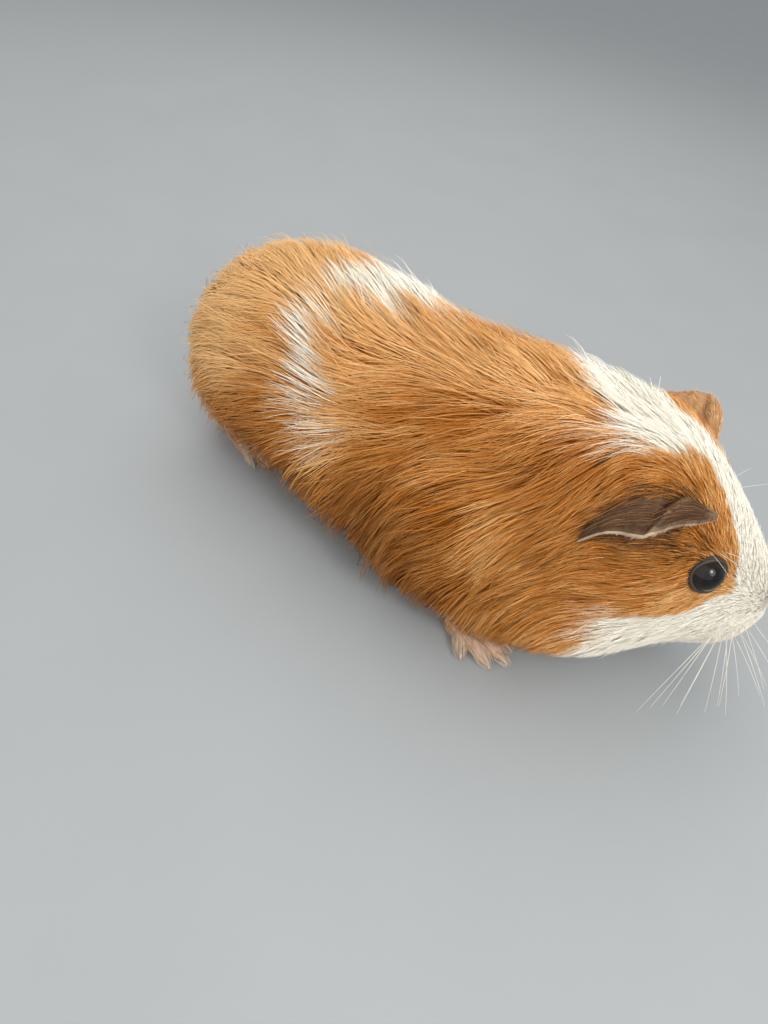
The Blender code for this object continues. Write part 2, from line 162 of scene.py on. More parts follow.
def body_frame(along, turn):
    """Point, outward direction, direction to the rear and millimetres for one step of each.

    The two directions along the surface are differences of the surface itself, and
    the outward one is square to both.
    """
    along = np.clip(along, 0.03, LAST - 0.03)
    point = body_point(along, turn)
    back = (body_point(along + 0.02, turn) - body_point(along - 0.02, turn)) / 0.04
    round_it = (body_point(along, turn + 0.01) - body_point(along, turn - 0.01)) / 0.02
    outward = unit(np.cross(round_it, back))
    return point, outward, unit(back), np.linalg.norm(back, axis=-1), np.linalg.norm(round_it, axis=-1)


def body_place(points):
    """Station and turn of points: the station whose section holds the point, then the
    angle of the point in that section's own proportions."""
    along = np.interp(-points[..., 0], -FINE_X, FINE_ALONG)
    for _ in range(4):
        x, half, rise, drop, level, _, _, middle, heading = np.moveaxis(
            through_rows(KEYS, along), -1, 0)
        out = (points[..., 1] - middle) / np.cos(heading)
        along = np.interp(-(points[..., 0] + out * np.sin(heading)), -FINE_X, FINE_ALONG)
    high = points[..., 2] - level
    tall = np.maximum(np.where(high > 0, rise, drop), 0.3)
    return along, np.arctan2(out / np.maximum(half, 0.3), high / tall)


def field(table, angles, along, turn, stations=None):
    """Value of a field, between the rows and columns of its table; its rows stand at the
    body's own stations unless others are given."""
    table = np.asarray(table, float)
    if stations is not None:
        along = np.interp(along, stations, np.arange(len(stations)))
    across = np.interp(np.degrees(np.abs(turn)), angles, np.arange(len(angles)))
    row = np.clip(np.floor(along).astype(int), 0, len(table) - 2)
    column = np.clip(np.floor(across).astype(int), 0, len(angles) - 2)
    f, g = np.clip(along - row, 0, 1), across - column
    f = f * f * (3 - 2 * f)
    front = table[row, column] * (1 - g) + table[row, column + 1] * g
    rear = table[row + 1, column] * (1 - g) + table[row + 1, column + 1] * g
    return front * (1 - f) + rear * f


def ramp(value, low, high):
    """Smooth step from 0 at low to 1 at high."""
    t = np.clip((value - low) / (high - low), 0, 1)
    return t * t * (3 - 2 * t)


def band(value, low, full, fade, end):
    """Smooth step up from low to full, and down again from fade to end."""
    return ramp(value, low, full) * (1 - ramp(value, fade, end))


def ripple(points, size, seed):
    """Smooth wandering value between about -1 and 1: sines in seeded directions."""
    rng = np.random.default_rng(seed)
    total = np.zeros(points.shape[:-1])
    for _ in range(5):
        way = unit(rng.normal(size=3)) * 2 * math.pi / (size * rng.uniform(0.7, 1.5))
        total += np.sin(points @ way + rng.uniform(0, 2 * math.pi))
    return total / 2.6


# ---------------------------------------------------------------- the markings

# Right and left edge of the white blaze on head and nape, in degrees from the back.
BLAZE_ALONG = (2.40, 2.55, 2.70, 2.96, 3.27, 3.60, 3.98, 4.20, 4.45, 4.70, 4.90, 5.10, 5.30, 5.60,
               6.10)
BLAZE_RIGHT = (-80, -55, -38, -26, -16, -9, -12, -17, -21, -21, -17, -11, -1, 12, 32)
BLAZE_LEFT = (80, 55, 38, 25, 18, 14, 12, 12, 18, 36, 48, 56, 60, 60, 50)
# Upper edge of the white cheek by station, in degrees from the back.
CHEEK_EDGE = ((2.4, 56), (2.75, 76), (2.97, 87), (3.4, 92), (4.0, 92), (4.15, 103), (4.4, 125))
# Rear and front edge of the broken white saddle, by degrees from the back.
SADDLE_TURN = (-110, -93, -77, -58, -43, -30, -13, -4, 5, 17, 45, 80, 110)
SADDLE_FRONT = (7.20, 7.26, 7.32, 7.62, 7.90, 8.10, 8.00, 7.84, 7.58, 7.38, 7.3, 7.4, 7.5)
SADDLE_REAR = (7.90, 7.92, 8.10, 8.18, 8.32, 8.40, 8.36, 8.34, 8.26, 8.2, 8.2, 8.2, 8.2)
# Stations over which blaze, muzzle and cheek end, and the softness of the saddle's edges.
BLAZE_END = (5.85, 6.15)
MUZZLE_END = (2.40, 2.58)
CHEEK_END = (3.85, 4.35)
SADDLE_SOFT = 0.12
# Pale streaks by station, and their share of white: over the nape's side and at the throat.
NAPE_STREAK, NAPE_PALE = (4.4, 4.7, 5.1, 5.6), 0.48
THROAT_STREAK, THROAT_ROUND, THROAT_PALE = (3.6, 4.1, 4.2, 4.7), (80, 88, 106, 118), 0.34
# How pale the saddle is, by degrees from the back: it breaks up towards the flank.
SADDLE_PALE = ((-104, 0.0), (-90, 0.12), (-80, 0.45), (-66, 0.60), (-58, 0.85), (-52, 1.0),
               (-40, 1.0), (-37, 0.50), (-34, 0.50), (-32, 0.9), (-26, 0.9), (-22, 0.28),
               (-20, 0.35), (-16, 0.95), (40, 1.0), (55, 0.6), (90, 0.4), (120, 0.0))
# Tone of the coat against the middle one, by station and by angle from the back. Partly the coat's own
# tone, partly painted light and shade: lighter along the back as if lit from above, and painted shadow
# darkening the lower flank, most near stations 6 to 7.
TONE_ALONG = (0, 2.5, 3.2, 3.8, 4.4, 4.9, 5.4, 5.9, 6.4, 6.9, 7.4, 7.9, 8.5, 9.2, 10, 12)
TONE_ANGLES = (0, 15, 30, 45, 60, 75, 90, 115)
TONE_AND_PAINTED_LIGHT = ((0.30, 0.30, 0.30, 0.30, 0.30, 0.30, 0.30, 0.30),
        (0.30, 0.30, 0.32, 0.28, 0.25, 0.30, 0.30, 0.30),
        (0.30, 0.25, 0.25, -0.05, 0.00, 0.34, 0.25, 0.20),
        (0.25, 0.10, -0.10, -0.15, -0.06, 0.12, 0.12, 0.15),
        (0.25, 0.20, -0.02, -0.25, -0.26, -0.04, 0.05, 0.10),
        (0.25, 0.24, -0.02, -0.26, -0.20, -0.20, -0.12, 0.00),
        (0.28, 0.28, 0.12, -0.38, 0.04, 0.34, -0.14, -0.12),
        (0.28, 0.26, 0.06, -0.18, 0.12, -0.18, -0.32, -0.36),
        (0.28, 0.28, 0.20, -0.14, -0.06, -0.40, -0.48, -0.55),
        (0.28, 0.26, 0.26, -0.05, -0.10, -0.12, -0.28, -0.50),
        (0.28, 0.28, 0.36, 0.28, 0.20, 0.25, 0.34, -0.20),
        (0.30, 0.30, 0.38, 0.18, 0.20, 0.28, 0.00, -0.30),
        (0.42, 0.40, 0.38, 0.20, 0.30, 0.04, -0.20, -0.35),
        (0.55, 0.55, 0.57, 0.60, 0.60, 0.58, 0.35, 0.00),
        (0.55, 0.55, 0.57, 0.62, 0.62, 0.60, 0.50, 0.10),
        (0.55, 0.55, 0.55, 0.60, 0.60, 0.60, 0.50, 0.15))
# Line over the ear along which the hair turns dark brown, by station; the band is partly dark hair and
# partly painted shade where the ear meets the head.
EAR_LINE = ((3.65, 31.5), (3.90, 35.0), (4.10, 38.5), (4.30, 42.0), (4.45, 46.0), (4.58, 50.0))
# Dark flecks over the eye, behind it and under the ear: how dark, then station and
# reach along the body, degrees from the back and reach round it.
FLECKS = ((1.0, 3.27, 0.16, 47, 5.5), (0.8, 3.42, 0.12, 56, 4.0), (0.5, 4.05, 0.42, 60, 4.5))


def by_table(value, table):
    """Value between the rows of a two-column table."""
    return np.interp(value, *np.array(table).T)


def white_share(points):
    """How white the coat is at points on it, from 0 to 1.

    White are the muzzle, the lower cheeks, a blaze that widens over the nape, and a
    broken saddle before the haunches; pale hairs streak the nape and the throat's
    side. Each edge is a line told by its own table, and wanders a little.
    """
    along, turn = body_place(points)
    wander = ripple(points, 9.0, 3)
    degrees = np.degrees(turn) + 2.0 * wander
    side = np.abs(degrees)
    right = np.interp(along, BLAZE_ALONG, BLAZE_RIGHT)
    left = np.interp(along, BLAZE_ALONG, BLAZE_LEFT)
    soft = np.interp(along, (2.5, 4.0, 4.8, 5.2, 6.1), (3.0, 3.0, 6.0, 10.0, 11.0))
    blaze = np.minimum(ramp(degrees, right - soft, right + soft),
                       ramp(-degrees, -left - soft, -left + soft))
    blaze *= 1 - ramp(along, *BLAZE_END)
    muzzle = 1 - ramp(along + 0.05 * wander, *MUZZLE_END)
    edge = by_table(along, CHEEK_EDGE)
    cheek = ramp(side, edge - 3, edge + 3) * (1 - ramp(along + 0.12 * wander, *CHEEK_END))
    front = np.interp(degrees, SADDLE_TURN, SADDLE_FRONT)
    rear = np.interp(degrees, SADDLE_TURN, SADDLE_REAR)
    saddle = band(along, front - SADDLE_SOFT, front + 0.10, rear - SADDLE_SOFT, rear + SADDLE_SOFT)
    saddle *= by_table(degrees, SADDLE_PALE)
    middle = np.interp(along, (4.5, 5.4), (-17, -24))
    nape = NAPE_PALE * band(along, *NAPE_STREAK) * np.exp(-((degrees - middle) / 10) ** 2)
    throat = THROAT_PALE * band(along, *THROAT_STREAK) * band(side, *THROAT_ROUND)
    return np.clip(np.maximum.reduce([blaze, muzzle, cheek, saddle, nape, throat]), 0, 1)


def dark_share(points):
    """How sooty the hair is: flecks that fall off like bells, and a band above the ears that is partly
    dark hair and partly painted shade at the ear's base.
    """
    along, turn = body_place(points)
    side = np.degrees(np.abs(turn))
    flecks = sum(most * np.exp(-((along - station) / long) ** 2 - ((side - angle) / wide) ** 2)
                 for most, station, long, angle, wide in FLECKS)
    line = by_table(along, EAR_LINE)
    # Partly painted shade: the hair over the ear's base is darkened.
    over_ear = band(side, line - 8, line - 1, 54, 60) * band(along, 3.55, 3.72, 4.5, 4.7)
    return np.clip(flecks + 1.1 * over_ear, 0, 1.3)

# ---------------------------------------------------------------- meshes

def shown(name, data):
    """New object of the given data, put in the scene."""
    made = bpy.data.objects.new(name, data)
    bpy.context.scene.collection.objects.link(made)
    return made


def solid(name, points, faces, stuff):
    """Closed object from millimetre points and faces, its doubles merged, faces outward."""
    mesh = bpy.data.meshes.new(name)
    mesh.from_pydata((np.asarray(points) * MM).tolist(), [], [tuple(f) for f in faces])
    build = bmesh.new()
    build.from_mesh(mesh)
    bmesh.ops.remove_doubles(build, verts=build.verts, dist=0.005 * MM)
    bmesh.ops.recalc_face_normals(build, faces=build.faces)
    build.to_mesh(mesh)
    build.free()
    mesh.shade_smooth()
    mesh.materials.append(stuff)
    return shown(name, mesh)


def points_of(thing):
    """An object's points in millimetres."""
    points = np.empty(len(thing.data.vertices) * 3, np.float32)
    thing.data.vertices.foreach_get("co", points)
    return points.reshape(-1, 3) / MM


def marked(mesh, values):
    """Keep four numbers for each point in the mesh, under the name that the stuffs read."""
    colours = mesh.attributes.new("tuft", "FLOAT_COLOR", "POINT")
    colours.data.foreach_set("color", values.astype(np.float32).ravel())


def along_line(line, share):
    """Points at shares of the way along a line of points, joined straight."""
    knots = np.linspace(0, 1, len(line))
    return np.stack([np.interp(share, knots, line[:, k]) for k in range(3)], axis=-1)


def grid_faces(rows, around, wrap_rows=False):
    """Quads of a grid that closes on itself round each row, as corner numbers."""
    i, j = np.meshgrid(np.arange(rows if wrap_rows else rows - 1), np.arange(around), indexing="ij")
    k, over = (j + 1) % around, (i + 1) % rows
    return np.stack([i * around + j, i * around + k, over * around + k, over * around + j],
                    axis=-1).reshape(-1, 4)


def loft(name, rings, stuff, thin=False, wrap=False):
    """Rings of points joined with quads, its two ends closed.

    An end is closed with a fan to its middle, or, on a thin sheet whose rings run out
    on one face and back on the other, with a ladder. With wrap the last ring joins
    the first, as on a ring-shaped piece.
    """
    rings = np.asarray(rings)
    rows, around = rings.shape[:2]
    points = rings.reshape(-1, 3)
    faces = grid_faces(rows, around, wrap).tolist()
    for first in () if wrap else (0, (rows - 1) * around):
        if thin:
            last = first + around - 1
            faces += [(first + j, first + j + 1, last - j - 1, last - j)
                      for j in range(around // 2 - 1)]
            continue
        middle = points[first:first + around].mean(axis=0)
        points = np.vstack([points, middle])
        faces += [(first + j, first + (j + 1) % around, len(points) - 1) for j in range(around)]
    return solid(name, points, faces, stuff)


def bar(name, path, radii, stuff, turns=24, floor=None):
    """Round bar along a path; each ring is square to it, and stops at the floor."""
    path, radii = np.asarray(path, float), np.asarray(radii, float)
    if radii.ndim == 1:
        radii = np.stack([radii, radii], axis=1)
    ahead = unit(np.gradient(path, axis=0))
    side = np.cross(UP, ahead)
    side[np.linalg.norm(side, axis=1) < 0.2] = [0, 1.0, 0]
    side = unit(side)
    up = np.cross(ahead, side)
    turn = np.linspace(0, 2 * math.pi, turns, endpoint=False) + math.pi / turns
    rings = (path[:, None] + (radii[:, :1] * np.cos(turn))[..., None] * side[:, None]
             + (radii[:, 1:] * np.sin(turn))[..., None] * up[:, None])
    if floor is not None:
        rings[..., 2] = np.maximum(rings[..., 2], floor)
    return loft(name, rings, stuff)


def merged(target, tool):
    """Join one object with another, exactly; each face keeps its own material."""
    change = target.modifiers.new("join", "BOOLEAN")
    change.operation = "UNION"
    change.solver = "EXACT"
    change.material_mode = "TRANSFER"
    change.object = tool
    settled(target)
    bpy.data.objects.remove(tool, do_unlink=True)


def settled(target):
    """Work the object's modifiers into its mesh."""
    bpy.context.view_layer.update()
    view = bpy.context.evaluated_depsgraph_get()
    mesh = bpy.data.meshes.new_from_object(target.evaluated_get(view))
    target.modifiers.clear()
    target.data = mesh


def joined(name, things):
    """Several objects as one mesh; each face keeps its own material."""
    build = bmesh.new()
    mesh = bpy.data.meshes.new(name)
    stuffs, kinds = [], []
    for thing in things:
        build.from_mesh(thing.data)
        own = np.empty(len(thing.data.polygons), np.int32)
        thing.data.polygons.foreach_get("material_index", own)
        stuffs += [stuff for stuff in thing.data.materials if stuff not in stuffs]
        kinds.append(np.array([stuffs.index(stuff) for stuff in thing.data.materials])[own])
    build.to_mesh(mesh)
    build.free()
    for stuff in stuffs:
        mesh.materials.append(stuff)
    mesh.polygons.foreach_set("material_index", np.concatenate(kinds).astype(np.int32))
    for thing in things:
        bpy.data.objects.remove(thing, do_unlink=True)
    return shown(name, mesh)


def melted(thing, voxel, smooth):
    """Joined shells made one organic skin: remeshed in small cubes, then relaxed."""
    remesh = thing.modifiers.new("melt", "REMESH")
    remesh.mode = "VOXEL"
    remesh.voxel_size = voxel * MM
    relax = thing.modifiers.new("relax", "SMOOTH")
    relax.factor = 0.5
    relax.iterations = smooth
    settled(thing)
    thing.data.shade_smooth()
    return thing


# ---------------------------------------------------------------- materials

class Nodes:
    """Short way to add and link shader nodes of one material."""

    SETTINGS = ("operation", "blend_type", "data_type", "attribute_name", "interpolation_type")

    def __init__(self, name):
        self.made = bpy.data.materials.new(name)
        self.made.use_nodes = True
        self.tree = self.made.node_tree
        self.shader = self.tree.nodes["Principled BSDF"]
        self.place = None

    def feed(self, socket, value):
        """Link an input to another node, or set it; a colour is given as three numbers."""
        if isinstance(value, bpy.types.NodeSocket):
            self.tree.links.new(value, socket)
        else:
            socket.default_value = (*value, 1.0) if isinstance(value, tuple) else value

    def add(self, kind, **values):
        """Add a node with its settings, and its inputs by name or, after a _, by number."""
        node = self.tree.nodes.new(kind)
        for key, value in values.items():
            if key in self.SETTINGS:
                setattr(node, key, value)
            else:
                self.feed(node.inputs[int(key[1:]) if key[1:].isdigit() else key], value)
        return node

    def put(self, socket, value):
        """Link or set an input of the shader."""
        self.feed(self.shader.inputs[socket], value)

    def tuft(self):
        """The four numbers that a mesh keeps for each of its points."""
        node = self.add("ShaderNodeAttribute", attribute_name="tuft")
        parts = self.add("ShaderNodeSeparateColor", Color=node.outputs["Color"])
        return parts.outputs[0], parts.outputs[1], parts.outputs[2], node.outputs["Alpha"]

    def noise(self, scale, detail=3.0, rough=0.5):
        """Cloudy noise on the object's own coordinates; scale is patches per millimetre."""
        if self.place is None:
            self.place = self.add("ShaderNodeTexCoord").outputs["Object"]
        node = self.add("ShaderNodeTexNoise", Vector=self.place, Scale=scale / MM, Detail=detail,
                        Roughness=rough)
        return node.outputs["Fac"]

    def maths(self, operation, a, b):
        """One sum."""
        return self.add("ShaderNodeMath", operation=operation, _0=a, _1=b).outputs[0]

    def span(self, value, low, high, to_low=0.0, to_high=1.0):
        """A value carried from one span to another, smoothly, and kept inside it."""
        node = self.add("ShaderNodeMapRange", interpolation_type="SMOOTHSTEP", _0=value, _1=low,
                        _2=high, _3=to_low, _4=to_high)
        return node.outputs[0]

    def mix(self, share, first, second, blend="MIX"):
        """Two colours mixed."""
        return self.add("ShaderNodeMix", data_type="RGBA", blend_type=blend, _0=share, _6=first,
                        _7=second).outputs[2]

    def bump(self, height, distance, strength=1.0):
        """Fine relief of a height, in millimetres."""
        node = self.add("ShaderNodeBump", Strength=strength, Distance=distance * MM, Height=height)
        self.put("Normal", node.outputs["Normal"])


ORANGE_DEEP = (0.270, 0.078, 0.006)
ORANGE = (0.560, 0.190, 0.022)
ORANGE_PALE = (0.920, 0.540, 0.230)
WHITE_SHADE = (0.860, 0.770, 0.630)
WHITE = (0.985, 0.930, 0.790)
# Near-black brown for the coat's dark hairs, also used as painted shade in nostrils, lip grooves and over
# the ear's base.
SOOT_AND_SHADE = (0.040, 0.024, 0.014)


def coat_stuff():
    """Hair: each tuft carries how white it is, its own shade, where along the hair a point lies and how
    sooty it is; roots are darkened as painted shade deep in the coat, and tips are paler."""
    hair = Nodes("Coat hair")
    white, shade, up_it, soot_and_shade = hair.tuft()
    clouds = hair.noise(0.035, 2.0)
    tone = hair.maths("ADD", hair.maths("MULTIPLY", shade, 0.8), hair.maths("MULTIPLY", clouds, 0.4))
    warm = hair.mix(hair.span(tone, 0.25, 0.62), ORANGE_DEEP, ORANGE)
    warm = hair.mix(hair.span(tone, 0.55, 1.05), warm, ORANGE_PALE)
    snow = hair.mix(hair.span(tone, 0.20, 0.68), WHITE_SHADE, WHITE)
    colour = hair.mix(white, warm, snow)
    # Painted shade: the root end of each hair is darkened for the shade deep in the coat.
    root = hair.mix(white, (0.79, 0.66, 0.52), (0.99, 0.95, 0.89))
    colour = hair.mix(hair.span(up_it, 0.0, 0.45, 0.7, 0.0), colour, root, "MULTIPLY")
    tip = hair.span(up_it, 0.5, 1.0, 0.0, 0.30)
    colour = hair.mix(tip, colour, hair.mix(white, (0.92, 0.56, 0.21), (0.98, 0.95, 0.88)))
    hair.put("Base Color", hair.mix(hair.maths("MULTIPLY", soot_and_shade, 0.92), colour, SOOT_AND_SHADE))
    hair.put("Roughness", hair.span(hair.noise(0.5), 0.3, 0.7, 0.50, 0.70))
    hair.put("Specular IOR Level", 0.18)
    hair.bump(hair.noise(3.0, 2.0), 0.03, 0.4)
    return hair.made


def skin_stuff():
    """Skin under the coat, in the coat's markings but darker, as painted shade for the depth seen between
    the hairs, with fine short hair as relief; each point carries how white, how bare and how dark it is."""
    skin = Nodes("Coat skin")
    white, bare, _, dark = skin.tuft()
    fine = skin.noise(1.6, 4.0, 0.65)
    # Painted shade: these colours are darker than the hair's, so gaps in the coat look deep.
    warm = skin.mix(skin.span(fine, 0.3, 0.7), (0.26, 0.080, 0.010), (0.44, 0.150, 0.020))
    snow = skin.mix(skin.span(fine, 0.3, 0.7), (0.84, 0.74, 0.62), (0.95, 0.90, 0.82))
    colour = skin.mix(bare, skin.mix(white, warm, snow), (0.62, 0.36, 0.29))
    # Painted shade: the dark share turns nostrils and lip grooves nearly black.
    skin.put("Base Color", skin.mix(dark, colour, SOOT_AND_SHADE))
    skin.put("Roughness", skin.span(fine, 0.2, 0.8, 0.55, 0.8))
    skin.bump(fine, 0.25, 0.7)
    return skin.made


def eye_stuff():
    """Wet dark eye: black pupil, brown iris, paler rim, by distance from the ball's pole."""
    eye = Nodes("Eye")
    gaze = eye.add("ShaderNodeAttribute", attribute_name="gaze").outputs["Fac"]
    streaks = eye.noise(1.8, 3.0)
    iris = eye.mix(streaks, (0.004, 0.003, 0.003), (0.016, 0.009, 0.006))
    colour = eye.mix(eye.span(gaze, 0.34, 0.46), (0.0012, 0.0012, 0.0016), iris)
    colour = eye.mix(eye.span(gaze, 0.66, 0.84), colour, (0.040, 0.028, 0.022))
    eye.put("Base Color", colour)
    eye.put("Roughness", eye.span(streaks, 0.2, 0.8, 0.03, 0.06))
    eye.put("IOR", 1.38)
    eye.bump(eye.noise(0.5, 2.0), 0.02, 0.2)
    return eye.made


def mottled(name, low, high, cloud, sheen, relief, height, between=None, grain=None, soft=None,
            shine=0.5):
    """Two colours mixed by cloudy noise, with roughness and fine relief from noise as well.

    cloud and relief tell their noise: patches per millimetre, detail, roughness. height
    is the relief's depth and strength, sheen the least and the most roughness, between
    the part of the clouds that is stretched, grain a noise of its own for the sheen,
    soft the share of light that goes in and how far, in millimetres, and shine the
    strength of the gloss.
    """
    stuff = Nodes(name)
    clouds = stuff.noise(*cloud)
    stuff.put("Base Color", stuff.mix(stuff.span(clouds, *between) if between else clouds, low, high))
    stuff.put("Roughness", stuff.span(stuff.noise(grain) if grain else clouds, 0.2, 0.8, *sheen))
    stuff.put("Specular IOR Level", shine)
    if soft:
        stuff.put("Subsurface Weight", soft[0])
        stuff.put("Subsurface Scale", soft[1] * MM)
    stuff.bump(stuff.noise(*relief), *height)
    return stuff.made


def ear_stuff(name, low, high):
    """Thin leathery skin, mottled, with grain."""
    return mottled(name, low, high, cloud=(0.35, 4.0, 0.6), between=(0.25, 0.75), grain=1.2,
                   sheen=(0.60, 0.85), shine=0.25, soft=(0.08, 0.6), relief=(2.2, 4.0, 0.6),
                   height=(0.12, 0.6))


COAT = coat_stuff()
SKIN = skin_stuff()
# Bare dark rim of the eye, slightly moist, with fine folds.
LID = mottled("Eyelid", (0.012, 0.009, 0.007), (0.060, 0.040, 0.028), cloud=(1.4, 3.0),
              sheen=(0.32, 0.6), relief=(2.2, 3.0), height=(0.12, 0.6))
EAR_HOLLOW = ear_stuff("Ear hollow", (0.050, 0.026, 0.013), (0.125, 0.072, 0.034))
EAR_LOBE = ear_stuff("Ear lobe", (0.100, 0.060, 0.032), (0.210, 0.140, 0.082))
EAR_BACK = ear_stuff("Ear back", (0.220, 0.105, 0.040), (0.420, 0.230, 0.100))
# Pale rim: a painted highlight along the ear's edge.
EAR_RIM = ear_stuff("Ear rim", (0.240, 0.165, 0.105), (0.480, 0.360, 0.250))
FOOT = mottled("Foot skin", (0.48, 0.26, 0.19), (0.72, 0.45, 0.35), cloud=(0.4, 4.0, 0.6),
               between=(0.3, 0.7), grain=1.1, sheen=(0.42, 0.66), soft=(0.15, 0.8),
               relief=(2.0, 4.0, 0.65), height=(0.15, 0.7))
EYE = eye_stuff()
HORN = mottled("Claw horn", (0.36, 0.25, 0.18), (0.62, 0.50, 0.38), cloud=(1.5, 4.0, 0.6),
               between=(0.3, 0.7), sheen=(0.24, 0.42), soft=(0.2, 0.5), relief=(3.0, 3.0),
               height=(0.05, 0.5))
WHISKER = mottled("Whisker", (0.62, 0.56, 0.48), (0.92, 0.90, 0.86), cloud=(0.2, 2.0),
                  sheen=(0.25, 0.4), relief=(2.0, 2.0), height=(0.01, 0.3))
FLOOR = mottled("Floor", (0.31, 0.33, 0.34), (0.35, 0.37, 0.38), cloud=(0.02, 4.0),
                sheen=(0.6, 0.75), relief=(0.6, 4.0), height=(0.15, 0.3))

# ---------------------------------------------------------------- eyes and lids

LONG_OPENING = math.radians(62)      # half the opening of the lids, seen from the ball's middle
SHORT_OPENING = math.radians(52)
EYE_TILT = math.radians(10)          # the eye's long axis falls towards the nose
EYE_LIFT = 0.07                      # how much the gaze is raised above square to the head


def eye_facts(side):
    """Middle and radius of an eyeball from its solid, its gaze, and two directions across."""
    low, high = (np.array(corner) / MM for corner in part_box("eye_" + side))
    middle, radius = (low + high) / 2, float((high - low).mean() / 2)
    along, turn = body_place(middle + (0, 4.0 * SIDES[side], 0))
    _, gaze, _, _, _ = body_frame(along, turn)
    gaze = unit(gaze + EYE_LIFT * UP)
    upward = unit(UP - gaze * gaze[2])
    forward = np.cross(upward, gaze)
    forward = forward if forward[0] > 0 else -forward
    long_way = forward * math.cos(EYE_TILT) - upward * math.sin(EYE_TILT)
    short_way = upward * math.cos(EYE_TILT) + forward * math.sin(EYE_TILT)
    return middle, radius, gaze, long_way, short_way


EYES = {side: eye_facts(side) for side in SIDES}


def lid_opening(theta):
    """Angle from the gaze at which the lids start, an oval in theta."""
    return 1 / np.sqrt((np.cos(theta) / LONG_OPENING) ** 2 + (np.sin(theta) / SHORT_OPENING) ** 2)


def on_ball(side, away, theta, distance):
    """Point at an angle away from the gaze, at theta round it, at a distance from the middle."""
    middle, _, gaze, long_way, short_way = EYES[side]
    across = np.cos(theta)[..., None] * long_way + np.sin(theta)[..., None] * short_way
    way = np.cos(away)[..., None] * gaze + np.sin(away)[..., None] * across
    return middle + way * distance[..., None]


def eyeball(side):
    """Ball with its pole on the gaze, a little prouder there as the cornea is."""
    middle, radius, gaze, _, _ = EYES[side]
    away, theta = np.meshgrid(np.linspace(0.02, math.pi - 0.02, 40),
                              np.linspace(0, 2 * math.pi, 64, endpoint=False), indexing="ij")
    proud = 0.25 * np.exp(-(away / 0.6) ** 2)
    piece = loft("eyeball_" + side, on_ball(side, away, theta, radius + proud), EYE)
    way = unit(points_of(piece) - middle)
    value = np.arccos(np.clip(way @ gaze, -1, 1)) / (math.pi / 2)
    piece.data.attributes.new("gaze", "FLOAT", "POINT").data.foreach_set("value", value.astype(np.float32))
    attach(piece, "root")
    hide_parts("eye_" + side)


def lids(side):
    """Ring of skin round the eye: a closed profile carried round the oval opening.

    From the wet edge it rolls out over the ball, dips in one fold, swells again and
    sinks into the head.
    """
    radius = EYES[side][1]
    profile = np.array(((0.0, -0.5), (-1.0, 0.08), (0.5, 0.36), (3.0, 0.50), (6.0, 0.50),
                        (8.5, 0.30), (12.0, 0.44), (18.0, 0.26), (28.0, -0.50), (31.0, -1.6),
                        (14.0, -1.9)))
    theta = np.linspace(0, 2 * math.pi, 96, endpoint=False)
    start = lid_opening(theta)
    away = start[:, None] + np.radians(profile[:, 0])
    distance = radius + profile[:, 1] + 0 * away
    rings = on_ball(side, away, theta[:, None] + 0 * away, distance)
    return loft("lids_" + side, rings, LID, wrap=True)


# ---------------------------------------------------------------- ears

# Ears, rear to front: base x, y, z, then rim x, y, z, as the solids have them, the left
# one told as if it were on the right.
EAR_ROWS = {
    "right": ((55.0, -28.0, 55.0, 54.5, -34.2, 55.5), (55.8, -25.2, 59.2, 58.3, -32.2, 59.7),
              (57.8, -20.6, 63.2, 61.8, -31.0, 61.6), (61.4, -15.8, 66.0, 65.2, -30.4, 62.7),
              (66.0, -11.8, 66.2, 68.2, -28.4, 63.4), (70.6, -9.0, 64.6, 71.5, -21.5, 64.1),
              (74.2, -7.2, 62.4, 75.4, -14.6, 63.2), (76.4, -6.2, 59.8, 78.3, -8.7, 62.6)),
    "left": ((55.0, -28.0, 53.5, 54.5, -34.2, 53.5), (55.8, -25.2, 57.4, 58.3, -32.2, 57.6),
             (57.8, -20.6, 62.0, 61.8, -31.4, 60.2), (61.4, -15.8, 65.2, 66.9, -32.0, 62.3),
             (65.6, -12.4, 65.6, 71.2, -30.6, 63.2), (69.4, -10.6, 64.2, 74.0, -25.6, 63.8),
             (72.0, -10.6, 62.2, 74.6, -19.4, 63.0), (73.2, -11.6, 60.4, 74.0, -16.0, 61.6))}
EAR_ARCH = 2.4
EAR_THICK = 0.95
EAR_HINGE = np.array([63.4, -16.0, 66.0])
EAR_RAISED = {"right": 0.0, "left": 15.0}
HEAD_MIDDLE = (62.4, 4.0, math.radians(10.0))
CREASE_BASE, CREASE_RIM = 5.0, 3.7       # rows where the front lobe folds over the hollow
RIM_FROM = 0.965                         # way out from which an ear is its pale rim, a painted highlight along the edge


def across_the_head(points):
    """Points mirrored in the upright plane along the head's heading."""
    x, y, heading = HEAD_MIDDLE
    sideways = np.array([-math.sin(heading), math.cos(heading), 0.0])
    away = (points - np.array([x, y, 0.0])) @ sideways
    return points - 2 * away[..., None] * sideways


def crease_row(out):
    """Row of the crease, at a way out from base to rim."""
    return CREASE_BASE + (CREASE_RIM - CREASE_BASE) * out


